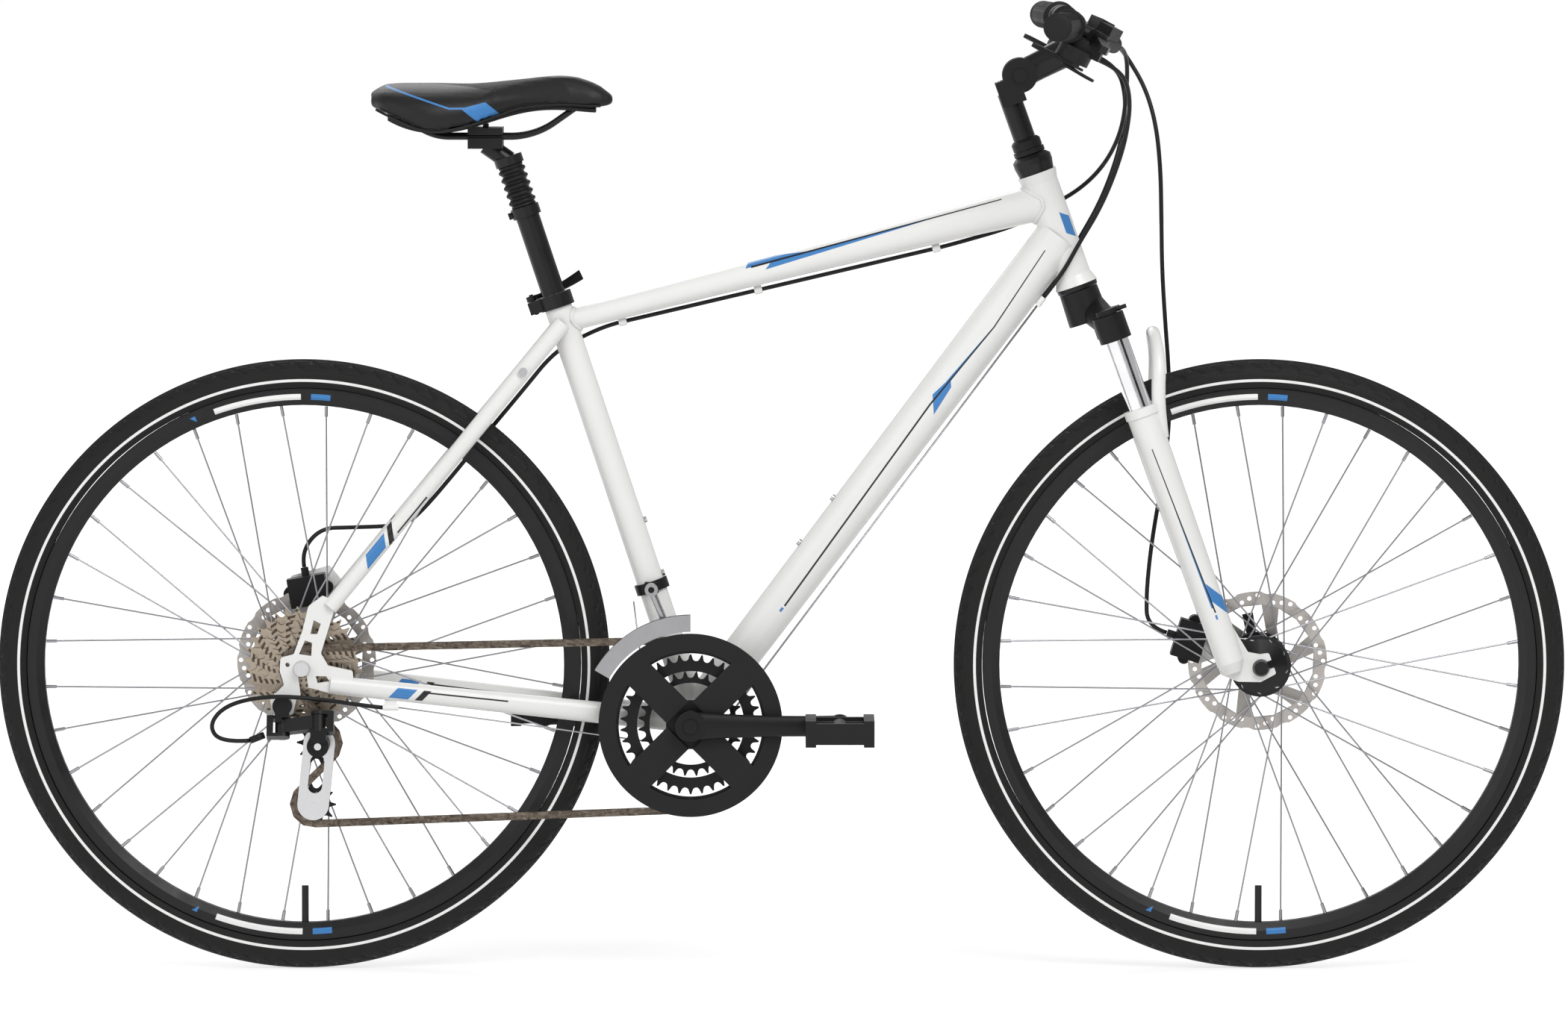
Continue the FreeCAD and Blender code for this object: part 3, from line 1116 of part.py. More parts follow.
def chain_route(angle):
    """The pieces of the loop: each is a length and a function from the distance along it to a point."""
    circles = chain_circles(angle)
    count = len(circles)
    lines = []
    for index, (centre, radius, sense) in enumerate(circles):
        other, other_radius, other_sense = circles[(index + 1) % count]
        span = other - centre
        heading = math.atan2(span.z, span.x) - math.asin((other_sense * other_radius - sense * radius) / span.Length)
        normal = Vector(-math.sin(heading), 0, math.cos(heading))
        lines.append((centre - normal * (sense * radius), other - normal * (other_sense * other_radius)))
    route = []
    for index, (centre, radius, sense) in enumerate(circles):
        arrive = lines[index - 1][1] - centre
        leave = lines[index][0] - centre
        begin = math.atan2(arrive.z, arrive.x)
        sweep = (sense * (math.atan2(leave.z, leave.x) - begin)) % (2 * math.pi)
        route.append((radius * sweep, lambda far, c=centre, r=radius, b=begin, s=sense:
                      c + polar_spot(r, b + s * far / r)))
        start, end = lines[index]
        route.append(((end - start).Length, lambda far, p=start, d=(end - start).normalize(): p + d * far))
    return route


def along_route(route, distance):
    for length, where in route:
        if distance <= length:
            return where(distance)
        distance -= length
    return route[-1][1](route[-1][0] + distance)


def walk_chain(angle):
    """Pins one pitch apart round the loop, and how many pitches close it."""
    route = chain_route(angle)
    total = sum(length for length, _ in route)
    pitch = float(size.chain_pitch)
    far = 0.0
    pins = [along_route(route, far)]
    while True:
        low, high = far + pitch * 0.9, far + pitch * 1.2
        for _ in range(40):
            middle = (low + high) / 2
            if (along_route(route, middle) - pins[-1]).Length < pitch:
                low = middle
            else:
                high = middle
        if high > total + pitch / 2:
            break
        far = high
        pins.append(along_route(route, far))
    return pins, len(pins) - 1 + (total - far) / pitch


def hang_cage():
    """The cage angle at which a whole, even number of links closes the chain."""
    nominal = float(size.cage_angle)
    links = 2 * round(walk_chain(nominal)[1] / 2)
    low, high = nominal - 30, nominal + 30
    rising = walk_chain(high)[1] > walk_chain(low)[1]
    for _ in range(30):
        middle = (low + high) / 2
        if (walk_chain(middle)[1] < links) == rising:
            low = middle
        else:
            high = middle
    return middle, walk_chain(middle)[0][:links]


cage_angle, chain_pins = hang_cage()
print("chain", len(chain_pins), "links, cage hangs at", round(cage_angle, 2))


def roller_phase(centre, teeth):
    """The angle of a roller that sits in a sprocket's teeth."""
    radius = pitch_radius(teeth)
    seated = [pin - centre for pin in chain_pins if abs((pin - centre).Length - radius) < 0.01]
    spot = seated[len(seated) // 2]
    return math.atan2(spot.z, spot.x)


def stadium(length, width, thickness, y):
    """A link plate: two half rounds joined by straight edges, from the origin along X."""
    half = width / 2
    ends = [Vector(0, y, half), Vector(length, y, half), Vector(length, y, -half), Vector(0, y, -half)]
    wire = Part.Wire([Part.LineSegment(ends[0], ends[1]).toShape(),
                      Part.Arc(ends[1], Vector(length + half, y, 0), ends[2]).toShape(),
                      Part.LineSegment(ends[2], ends[3]).toShape(),
                      Part.Arc(ends[3], Vector(-half, y, 0), ends[0]).toShape()])
    return Part.Face(wire).extrude(Y * thickness)


def chain():
    """Inner links with rollers and outer links with pins, one after the other."""
    pitch = float(size.chain_pitch)
    gap = float(size.chain_inner) / 2
    thick = float(size.link_thick)
    tall = float(size.link_height)
    pin_d = float(size.chain_pin_d)
    slack = float(size.chain_slack)
    bores = [Part.makeCylinder(pin_d / 2 + slack, 20, Vector(far, -10, 0), Y) for far in (0, pitch)]
    rollers = [Part.makeCylinder(float(size.roller_d) / 2, 2 * gap, Vector(far, -gap, 0), Y) for far in (0, pitch)]
    inner = stadium(pitch, tall, thick, gap).multiFuse([stadium(pitch, tall, thick, -gap - thick), *rollers])
    inner = inner.cut(Part.Compound(bores))
    outside = gap + thick + slack
    pins = [Part.makeCylinder(pin_d / 2, 2 * (outside + thick) + 0.8, Vector(far, -outside - thick - 0.4, 0), Y)
            for far in (0, pitch)]
    outer = stadium(pitch, tall, thick, outside).multiFuse([stadium(pitch, tall, thick, -outside - thick), *pins])
    links = []
    for index, start in enumerate(chain_pins):
        end = chain_pins[(index + 1) % len(chain_pins)]
        heading = math.degrees(math.atan2(end.z - start.z, end.x - start.x))
        link = (inner if index % 2 else outer).Solids[0].copy()
        link.Placement = Placement(start, Rotation(Y, -heading))
        links.append(link)
    node("chain", shape("chain_loop", Part.Compound(links)))


def cassette():
    """Sprockets and spacers on the freehub body, with the lockring."""
    core_d = size.freehub_d
    step = float(size.sprocket_pitch)
    thick = float(size.sprocket_thick)
    made = []
    for index, teeth in enumerate(CASSETTE_TEETH):
        at = Vector(rear_axle.x, chain_y + index * step, rear_axle.z)
        phase = roller_phase(at, teeth) if index == 0 else 0
        holes = []
        if pitch_radius(teeth) > 40:
            holes = hole_ring(pitch_radius(teeth) - 16, 11, 8)
        made.append(sprocket(teeth, phase, thick, at, *hole_ring(0, core_d, 1), *holes))
        if index:
            ring = Part.makeCylinder(float(core_d / 2 + size.spacer_wall), step - thick,
                                     at - Y * (step - thick / 2), Y)
            hole = Part.makeCylinder(float(core_d / 2), step, at - Y * (step - thick / 2), Y)
            made.append(ring.cut(hole))
    outer = chain_y - thick / 2 - 1.2
    inner = -float(size.rear_right_flange) - 2.5
    bore = size.rear_axle_d / 2 + size.bearing_fit
    core = turned("freehub", [(bore, outer), (core_d / 2, outer), (core_d / 2, inner), (bore, inner)], rear_axle)
    node("cassette", shape("sprocket_set", Part.Compound(made)), core)


def chainset():
    """Crank arms, spider and spindle; three rings; and the guard with its clips."""
    right = -1
    arm_y = size.crank_plane
    at = Vector(bracket.x, 0, bracket.z)
    step = size.ring_pitch
    bolts = []
    for quarter in range(4):
        turn = math.radians(45 + 90 * quarter)
        bolt = at + polar_spot(float(size.ring_bolt_circle / 2), turn)
        bolts.append(Part.makeCylinder(4, float(step) * 1.6, bolt + Y * (chain_y - 3), Y))
        small = at + polar_spot(float(size.granny_bolt_circle / 2), turn)
        bolts.append(Part.makeCylinder(3.5, float(step) * 1.6, small + Y * (-float(size.spider_plane) + 1), Y))
    bolt_set = shape("ring_bolts", Part.Compound(bolts))
    pieces = []
    for side, sign in SIDES.items():
        centre = bracket + Y * float(sign * arm_y)
        ahead = X * (1 if sign == right else -1)
        tip = centre + ahead * float(size.crank_length)
        arm = tube_loft(side + "_arm", [
            (centre, ahead, size.crank_height, size.crank_width),
            (centre + ahead * float(size.crank_length * 0.6), ahead, size.crank_height - 9, size.crank_width - 2),
            (tip, ahead, size.crank_height - 8, size.crank_width - 2)])
        root_y = size.spider_plane - 2 if sign == right else arm_y - size.crank_width
        root = cylinder(side + "_root", size.crank_height + 2, arm_y + size.crank_width / 2 - root_y,
                        bracket + Y * float(sign * root_y), Y * sign)
        eye = cylinder(side + "_eye", size.crank_height - 6, size.crank_width,
                       tip - Y * float(size.crank_width / 2), Y)
        cap = cylinder(side + "_crank_bolt", 16, 3, bracket + Y * float(sign * (arm_y + size.crank_width / 2)),
                       Y * sign)
        hole = cylinder(side + "_pedal_hole", size.pedal_axle_d, size.crank_width + 2,
                        tip - Y * float(size.crank_width / 2 + 1), Y)
        blank = [arm, root, eye, cap]
        if sign == right:
            blank.append(plate("spider", [
                polar for step in range(4) for polar in spider_arm(step)], size.spider_thick,
                bracket + Y * float(sign * size.spider_plane)))
        pieces.append(cut(side + "_crank", fuse(side + "_crank_blank", *blank), hole, bolt_set))
    spindle_half = size.crank_plane
    spindle = cylinder("spindle", size.spindle_d, 2 * spindle_half, bracket - Y * float(spindle_half), Y)
    pieces = [cut(item.Name + "_bored", item, spindle) for item in pieces]
    node("cranks", *pieces, spindle, *pedal_axles())

    rings = []
    for index, (teeth, rim, foot) in enumerate((
            (48, size.large_rim_d, size.ring_inner_d), (38, size.middle_rim_d, size.ring_inner_d),
            (28, size.small_rim_d, size.granny_inner_d))):
        middle = at + Y * (chain_y + index * float(step))
        phase = roller_phase(middle, teeth) if index == 0 else 0
        ring = sprocket(teeth, phase, size.sprocket_thick, middle, fingered_outline(rim, foot))
        rings.append(ring.cut(bolt_set.Shape))
    node("chainrings", shape("ring_set", Part.Compound(rings + bolts)))
    guard()


def pedal_axles():
    axles = []
    for side, sign in SIDES.items():
        tip = (bracket + X * float(-sign * size.crank_length)
               + Y * float(sign * (size.crank_plane - size.crank_width / 2)))
        length = size.crank_width + size.pedal_gap + size.pedal_width - 12
        stub = cylinder(side + "_pedal_stub", size.pedal_axle_d, length, tip, Y * sign)
        flats = cylinder(side + "_pedal_flats", size.pedal_axle_d + 5, 5,
                         tip + Y * float(sign * size.crank_width), Y * sign)
        axles.append(fuse(side + "_pedal_axle", stub, flats))
    return axles


def spider_arm(step):
    """Corners of one spider arm, to the next arm's foot."""
    points = []
    for radius, angle in ((size.ring_bolt_circle / 2 + 8, -8), (size.ring_bolt_circle / 2 + 8, 8), (30, 24), (30, 66)):
        turn = math.radians(45 + 90 * step + angle)
        points.append((radius * math.cos(turn), radius * math.sin(turn)))
    return points


def guard():
    """A flat ring with four arms outside the large chainring, held by four clips."""
    plane = size.guard_plane
    at = bracket - Y * float(plane)
    body = doc.addObject("PartDesign::Body", "guard_ring")
    drawing = new_sketch(body, "XZ_Plane")
    draw_circle(drawing, 0, 0, size.guard_d)
    draw_circle(drawing, 0, 0, size.guard_inner_d)
    pad(body, drawing, size.guard_thick)
    body.Placement = Placement(at, Rotation())
    clips = []
    arms = []
    arm_tip = size.guard_inner_d / 2 + 2
    for step in range(4):
        turn = math.radians(90 * step)
        lean = turn + math.pi / 4
        arms.append(box(f"guard_arm{step}", arm_tip - size.guard_arm_root, size.guard_thick, size.guard_arm_width,
                        at + polar_spot(float(arm_tip + size.guard_arm_root) / 2, lean),
                        Rotation(Y, -math.degrees(lean))))
        seat = bracket + polar_spot(float(size.guard_clip_circle / 2), turn)
        inside = seat - Y * float(size.chain_plane + size.sprocket_thick / 2)
        clips.append(cylinder(f"guard_clip{step}", 9, plane - size.guard_thick / 2 - size.chain_plane
                              - size.sprocket_thick / 2, inside, -Y))
    node("chain_guard", fuse("guard", body, *arms, *clips))


def bottom_bracket():
    half = size.bb_shell_width / 2
    flange = size.bb_shell_d / 2 - 1
    body = size.bb_bore_d / 2
    bore = size.spindle_d / 2 + size.bearing_fit
    return turned("bracket_unit", [
        (bore, -half - 3), (flange, -half - 3), (flange, -half), (body, -half), (body, half), (flange, half),
        (flange, half + 3), (bore, half + 3)], bracket)


def pedals():
    for side, sign in SIDES.items():
        near = size.crank_plane + size.crank_width / 2 + size.pedal_gap
        at = bracket + X * float(-sign * size.crank_length) + Y * float(sign * (near + size.pedal_width / 2))
        long, wide, tall = size.pedal_length, size.pedal_width, size.pedal_height
        barrel = cylinder(side + "_barrel", tall * 0.72, wide, at - Y * float(wide / 2), Y)
        rails = [box(f"{side}_rail{way}", 12, wide, tall, at + X * float(way * (long / 2 - 6))) for way in (-1, 1)]
        ends = [box(f"{side}_end{way}", long, 8, tall * 0.8, at + Y * float(way * (wide / 2 - 4)))
                for way in (-1, 1)]
        ribs = [box(f"{side}_rib{way}", long, 5, tall * 0.6, at + Y * float(way * wide / 6)) for way in (-1, 1)]
        bore = cylinder(side + "_pedal_bore", size.pedal_axle_d + 2 * size.slide_fit, wide - 6,
                        at - Y * float(sign * wide / 2), Y * sign)
        node(side + "_pedal", cut(side + "_pedal_body", fuse(side + "_pedal_blank", barrel, *rails, *ends, *ribs),
                                  bore))


chain()
cassette()
chainset()
node("bearing_cups", *headset(), bottom_bracket())
pedals()


# Rear derailleur: bracket on the hanger, link, knuckle and the cage with its two pulleys
slant = math.radians(float(size.link_slant))
link_axis = Vector(0, math.sin(slant), math.cos(slant))
link_inward = Vector(0, math.cos(slant), -math.sin(slant))
link_swing = math.radians(float(size.link_swing))
link_root = from_rear(-size.link_root_back, -size.link_root_drop, -size.link_root_side)
link_run = X * math.cos(link_swing) - link_inward * math.sin(link_swing)
link_tip = link_root + link_run * float(size.link_length)


def pivot_fork(name, at, body_side, extra):
    """Two ears and a pin about the link's axis, with room for the link to swing on the open side."""
    frame = Rotation(X, Vector(), link_axis, "XZY")
    tall = size.link_height_axis
    ear = size.ear_plate
    lift = tall / 2 + 0.4
    pieces = list(extra)
    for way in (-1, 1):
        pieces.append(cylinder(f"{name}_ear{way}", 18, ear, at + link_axis * float(way * lift), link_axis * way))
        pieces.append(box(f"{name}_web{way}", 16, 16, ear,
                          at + X * (body_side * 8) + link_axis * float(way * (lift + ear / 2)), frame))
    pieces.append(box(name + "_back", 7, 16, 2 * lift + 2 * ear, at + X * (body_side * 14), frame))
    bolt_length = 2 * lift + 2 * ear
    pin = cylinder(name + "_pin", size.hinge_pin_d, bolt_length, at - link_axis * float(bolt_length / 2), link_axis)
    room = cylinder(name + "_room", 20.5, 2 * lift, at - link_axis * float(lift), link_axis)
    swing = box(name + "_swing", 60, 70, 2 * lift, at - X * (body_side * 30), frame)
    return fuse(name, cut(name + "_body", fuse(name + "_blank", *pieces), room, swing), pin)


def rear_derailleur():
    hanger = from_rear(-size.hanger_back, -size.hanger_drop)
    outer_face = size.rear_hub_width / 2 + size.dropout_thick
    bolt = cylinder("hanger_bolt", size.hanger_eye_d - 2 * size.slide_fit, 24,
                    hanger - Y * float(outer_face - 7), -Y)
    barrel = cylinder("bracket_barrel", 22, 17, hanger - Y * float(outer_face + 0.1), -Y)
    tie = box("bracket_tie", 16, 14, 20, Vector(link_root.x, link_root.y - 1, (hanger.z + link_root.z) / 2 + 4))
    node("derailleur_bracket", pivot_fork("bracket_fork", link_root, -1, [bolt, barrel, tie]))

    tall = size.link_height_axis
    low = link_axis * float(tall / 2)
    ends = [cylinder(f"link_end{index}", 16, tall, at - low, link_axis)
            for index, at in enumerate((link_root, link_tip))]
    web = box("link_web", size.link_length, 13, tall, (link_root + link_tip) * 0.5,
              Rotation(link_run, Vector(), link_axis, "XZY"))
    bores = [cylinder(f"link_bore{index}", size.hinge_pin_d + 2 * size.slide_fit, tall, at - low, link_axis)
             for index, at in enumerate((link_root, link_tip))]
    node("derailleur_link", cut("link", fuse("link_blank", web, *ends), *bores))

    near = -chain_y + float(size.cage_half) + float(size.cage_plate) + 0.6
    depth = -link_tip.y + 8 - near
    drum_at = Vector(guide_at.x, -near, guide_at.z)
    drum = cylinder("knuckle_drum", 25, depth, drum_at, -Y)
    lug = box("knuckle_lug", 18, 18, 16, Vector(link_tip.x, link_tip.y - 3, (link_tip.z + guide_at.z) / 2 - 1))
    bore = cylinder("knuckle_bore", size.cage_pin_d + 2 * size.slide_fit, depth, drum_at, -Y)
    node("derailleur_knuckle", cut("knuckle", pivot_fork("knuckle_fork", link_tip, 1, [drum, lug]), bore))

    low_at = tension_at(cage_angle)
    heading = math.degrees(math.atan2(low_at.z - guide_at.z, low_at.x - guide_at.x))
    length = float(size.cage_length)
    thick = float(size.cage_plate)
    half = float(size.cage_half)
    plates = [stadium(length, float(size.cage_width), thick, half),
              stadium(length, float(size.cage_width), thick, -half - thick)]
    window = stadium(length * 0.4, float(size.cage_width) * 0.45, 4 * half, -2 * half)
    window.translate(X * (length * 0.3))
    bolts = [Part.makeCylinder(float(size.pulley_bolt_d) / 2, 2 * (half + thick) + 2,
                               Vector(far, -half - thick - 1, 0), Y) for far in (0, length)]
    heads = [Part.makeCylinder(float(size.pulley_bolt_d), 1.6, Vector(far, half + thick, 0), Y) for far in (0, length)]
    pin = Part.makeCylinder(float(size.cage_pin_d) / 2, float(depth) + half, Vector(0, -half - thick, 0), -Y)
    cage = Part.makeCompound([item.cut(window) for item in plates]).Solids[0].multiFuse(
        [plates[1].cut(window), *bolts, *heads, pin])
    feature = shape("cage", cage)
    feature.Placement = Placement(guide_at, Rotation(Y, -heading))
    node("derailleur_cage", feature)
    bore_d = size.pulley_bolt_d + 2 * size.slide_fit
    for label, at in (("guide_pulley", guide_at), ("tension_pulley", low_at)):
        holes = hole_ring(size.pulley_hole_circle / 2, size.pulley_hole_d, 5)
        wheel = sprocket(11, roller_phase(at, 11), size.pulley_thick, at, *hole_ring(0, bore_d, 1), *holes)
        node(label, shape(label + "_wheel", wheel))


def front_derailleur():
    """The band on the seat tube with its guide pin, and the cage that slides on the pin."""
    at = on_seat(size.band_along)
    band = turned("band", [
        (size.seat_tube_d / 2, -size.band_height / 2), (size.seat_tube_d / 2 + size.band_wall, -size.band_height / 2),
        (size.seat_tube_d / 2 + size.band_wall, size.band_height / 2), (size.seat_tube_d / 2, size.band_height / 2)],
        at, seat_up)
    reach = size.chain_plane - size.fd_half + 6
    pin = cylinder("band_pin", size.fd_pin_d, reach - size.seat_tube_d / 2 - 1, at - Y * float(size.seat_tube_d / 2 + 1), -Y)
    lug = box("band_lug", 16, 9, size.band_height, at - Y * float(size.seat_tube_d / 2 + size.band_wall + 2))
    node("front_derailleur_clamp", fuse("band_body", band, pin, cut("band_lug_fitted", lug,
         cylinder("band_lug_tool", size.seat_tube_d, 60, at - seat_up * 30, seat_up))))

    low = float(size.guard_d / 2 + 2)
    high = low + float(size.fd_depth)
    begin, end = math.radians(90), math.radians(150)
    middle = (begin + end) / 2
    corners = [polar_spot(low, begin), polar_spot(low, end), polar_spot(high, end), polar_spot(high, begin)]
    outline = Part.Wire([
        Part.Arc(corners[0], polar_spot(low, middle), corners[1]).toShape(),
        Part.LineSegment(corners[1], corners[2]).toShape(),
        Part.Arc(corners[2], polar_spot(high, middle), corners[3]).toShape(),
        Part.LineSegment(corners[3], corners[0]).toShape()])
    half = float(size.fd_half)
    thick = float(size.cage_plate)
    wing = Part.Face(outline).extrude(Y * thick)
    inner = wing.copy()
    inner.translate(Y * half)
    outer = wing.copy()
    outer.translate(Y * (-half - thick))
    bridge_at = polar_spot(high - 5, math.radians(97))
    bridge = Part.makeBox(14, 2 * half + 2 * thick, 4, bridge_at - Vector(7, half + thick, 2))
    hub_at = Vector(at.x - bracket.x, half + thick, at.z - bracket.z)
    hub = Part.makeCylinder(float(size.fd_pin_d) / 2 + 4, 9, hub_at, -Y)
    foot = polar_spot(high - 6, math.radians(104)) + Y * (half + thick / 2)
    arm_run = hub_at - Y * 4 - foot
    arm = Part.makeCylinder(4, arm_run.Length, foot, arm_run)
    arm = arm.common(Part.makeBox(400, 9, 400, Vector(-200, half + thick - 9, 0)))
    hole = Part.makeCylinder(float(size.fd_pin_d) / 2 + float(size.slide_fit), 40, hub_at + Y * 10, -Y)
    feature = shape("front_cage", inner.multiFuse([outer, bridge, hub, arm]).cut(hole))
    feature.Placement = Placement(Vector(bracket.x, chain_y, bracket.z), Rotation())
    node("front_derailleur_cage", feature)


rear_derailleur()
front_derailleur()


# Seat
def seat_clamp():
    """A split collar round the seat tube's top and its quick-release lever."""
    low = size.seat_tube_length - size.collar_height + 4
    inner = size.seat_tube_d / 2
    ring = turned("collar_ring", [
        (inner, 0), (inner + size.collar_wall, 0), (inner + size.collar_wall, size.collar_height - 4),
        (inner, size.collar_height - 4)], on_seat(low), seat_up)
    frame = Rotation(Vector(-seat_up.z, 0, seat_up.x), Vector(), seat_up, "XZY")
    ears = box("collar_ears", 16, 20, size.collar_height - 6,
               on_seat(low + size.collar_height / 2 - 2, inner + size.collar_wall + 4), frame)
    pivot = on_seat(low + 1, inner + size.collar_wall + 6, 16)
    knuckle = cylinder("collar_knuckle", 11, size.collar_height - 6, pivot, seat_up)
    pin = cylinder("collar_pin", size.hinge_pin_d, size.collar_height + 4, pivot - seat_up * 2, seat_up)
    node("seat_clamp", fuse("collar", ring, ears, knuckle, pin))
    top = on_seat(low + size.collar_height - 4.6, inner + size.collar_wall + 6, 16)
    eye = cylinder("collar_eye", 13, 6, top, seat_up)
    eye_bore = cylinder("collar_eye_bore", size.hinge_pin_d + 2 * size.slide_fit, 20, top - seat_up * 7, seat_up)
    start = top + seat_up * 3
    ahead = Vector(seat_up.z, 0, -seat_up.x)
    knee = start + ahead * 20 + Y * 12
    tip = start + ahead * float(size.collar_lever) + Y * 10 + seat_up * 8
    along = (tip - start).normalize()
    arm = tube_loft("collar_arm", [(start, along, 5.4, 5), (knee, along, 8, 6), (tip, along, 12, 5)])
    node("seat_clamp_lever", cut("collar_lever", fuse("collar_lever_blank", eye, arm), eye_bore))


def seatpost():
    """The post in the seat tube, its sprung shaft and head, and the ribbed boot round the shaft."""
    low = size.seat_tube_length - size.post_insert
    length = size.post_top - low
    outer = cylinder("post_outer", size.seat_post_d, length, on_seat(low), seat_up)
    nut = cylinder("post_nut", size.post_nut_d, size.post_nut_height, on_seat(size.post_top - size.post_nut_height),
                   seat_up)
    screw = cylinder("post_nut_screw", 8, 6, on_seat(size.post_top - size.post_nut_height / 2, size.post_nut_d / 2 - 2),
                     Vector(-seat_up.z, 0, seat_up.x))
    bore = cylinder("post_bore", size.shaft_d + 2 * size.slide_fit, length, on_seat(low), seat_up)
    node("seatpost_tube", cut("post", fuse("post_blank", outer, nut, screw), bore))

    head_at = size.post_top + size.boot_length
    shaft = rod("post_shaft", size.shaft_d, on_seat(low + 20), on_seat(head_at + 4))
    cap = cylinder("post_cap", size.post_nut_d, size.post_cap_height, on_seat(head_at), seat_up)
    cradle_at = Vector(float(size.saddle_clamp_x), 0, float(size.rail_height) - float(size.rail_d) / 2 - 6)
    neck_at = on_seat(head_at + size.post_cap_height / 2)
    neck = rod("post_neck", 22, neck_at, cradle_at)
    cradle = box("post_cradle", size.saddle_clamp_length, 2 * size.rail_half + 14, 12, cradle_at + Z * 2)
    top = box("post_clamp", size.saddle_clamp_length, 2 * size.rail_half + 14, 8,
              cradle_at + Z * float(12.2 + size.rail_d / 2))
    bolt = cylinder("post_clamp_bolt", 7, 34, cradle_at - Z * 10, Z)
    rails = [cylinder(f"rail_groove{sign}", size.rail_d + 4 * size.slide_fit, 90,
                      Vector(float(size.saddle_clamp_x) - 45, float(sign * size.rail_half), float(size.rail_height)), X)
             for sign in (-1, 1)]
    node("seatpost_head", cut("post_head", fuse("post_head_blank", shaft, cap, neck, cradle, top, bolt), *rails))

    ribs = int(float(size.boot_ribs))
    pitch = float(size.boot_length - 0.6) / ribs
    base = float(size.post_top) + 0.3
    rings = []
    for index in range(ribs):
        for share, diameter in ((0.0, size.boot_valley_d), (0.25, size.boot_valley_d + 2), (0.5, size.boot_peak_d),
                                (0.75, size.boot_valley_d + 2)):
            centre = on_seat(base + (index + share) * pitch)
            rings.append(Part.Wire(Part.Circle(centre, seat_up, float(diameter) / 2).toShape()))
    rings.append(Part.Wire(Part.Circle(on_seat(base + ribs * pitch), seat_up, float(size.boot_valley_d) / 2).toShape()))
    skin = Part.makeLoft(rings, True, True)
    bore = Part.makeCylinder(float(size.shaft_d / 2) + 0.4, float(size.boot_length) + 20,
                             on_seat(base - 10), seat_up)
    node("seatpost_boot", shape("boot", skin.cut(bore)))


SADDLE_STATIONS = ("tail", "rear", "wing", "waist", "thigh", "neck", "nose", "tip")


def saddle_station(name):
    """Distance along the bike, half width, crown height and skirt height of one section of the saddle."""
    return [float(getattr(size, f"saddle_{name}_{what}")) for what in ("x", "half", "crown", "skirt")]


def saddle():
    """The padded cover over its base, and the two rails below."""
    covers = []
    bases = []
    depth = float(size.saddle_depth)
    for name in SADDLE_STATIONS:
        x, half, crown_z, skirt_z = saddle_station(name)
        height = crown_z - skirt_z
        under = max(skirt_z + 1, crown_z - depth)
        foot = 0.9 * half
        shoulder = [(foot, skirt_z), (half, skirt_z + 0.42 * height), (0.74 * half, crown_z - 0.14 * height)]
        right = [Vector(x, y, z) for y, z in shoulder]
        left = [Vector(x, -y, z) for y, z in shoulder]
        covers.append(Part.Wire([
            Part.Arc(right[0], right[1], right[2]).toShape(),
            Part.Arc(right[2], Vector(x, 0, crown_z), left[2]).toShape(),
            Part.Arc(left[2], left[1], left[0]).toShape(),
            Part.Arc(left[0], Vector(x, 0, under), right[0]).toShape()]))
        inset = 0.8 * half
        edge = under + (skirt_z - under) * 0.8 - float(size.saddle_gap)
        middle = under - float(size.saddle_gap)
        wall = float(size.saddle_base_wall)
        upper = [Vector(x, -inset, edge), Vector(x, 0, middle), Vector(x, inset, edge)]
        lower = [spot - Z * wall for spot in upper]
        bases.append(Part.Wire([
            Part.Arc(*upper).toShape(), Part.LineSegment(upper[2], lower[2]).toShape(),
            Part.Arc(lower[2], lower[1], lower[0]).toShape(), Part.LineSegment(lower[0], upper[0]).toShape()]))
    node("saddle_cover", shape("cover", Part.makeLoft(covers, True, False)))
    rails = []
    level = float(size.rail_height)
    middle_x = float(size.saddle_clamp_x)
    for sign in (-1, 1):
        half = float(sign * size.rail_half)
        route = [Vector(float(size.rail_rear_x), half * 1.25, float(size.rail_rear_z)),
                 Vector(middle_x - 62, half, level), Vector(middle_x + 56, half, level),
                 Vector(float(size.rail_front_x), half * 0.45, float(size.rail_front_z))]
        rails.append(pipe(route, size.rail_d))
    node("saddle_rails", shape("rails", Part.Compound(rails)))
    base = Part.makeLoft(bases[1:-1], True, False)
    node("saddle_shell", shape("base", base.cut(rails[0]).cut(rails[1])))


seat_clamp()
seatpost()
saddle()


# Small fittings on the frame
down_head = head_top - steer_up * float(size.down_tube_head_drop)
down_run = (down_head - bracket).normalize()
down_below = Vector(down_run.z, 0, -down_run.x)
top_seat = seat_foot + seat_up * float(size.top_tube_seat_height)
top_head = head_top - steer_up * float(size.top_tube_head_drop)


def on_down_tube(along, out, side=0):
    """A point by its distance up the down tube, its distance below the axis and to the left."""
    return bracket + down_run * float(along) + down_below * float(out) + Y * float(side)


def down_radius(along):
    share = float(along) / (down_head - bracket).Length
    return float(size.down_tube_bb_d / 2) * (1 - share) + float(size.down_tube_head_d / 2) * share


def under_top_tube(along, side):
    """A point on the lower left of the top tube, by its distance ahead of the seat tube's axis."""
    run = (top_head - top_seat).normalize()
    share = float(along) / (top_head - top_seat).Length
    radius = float(size.top_tube_seat_d / 2) * (1 - share) + float(size.top_tube_head_d / 2) * share
    clear = radius + float(size.hose_d)
    return top_seat + run * float(along) + Y * float(side) - Z * math.sqrt(clear ** 2 - float(side) ** 2)


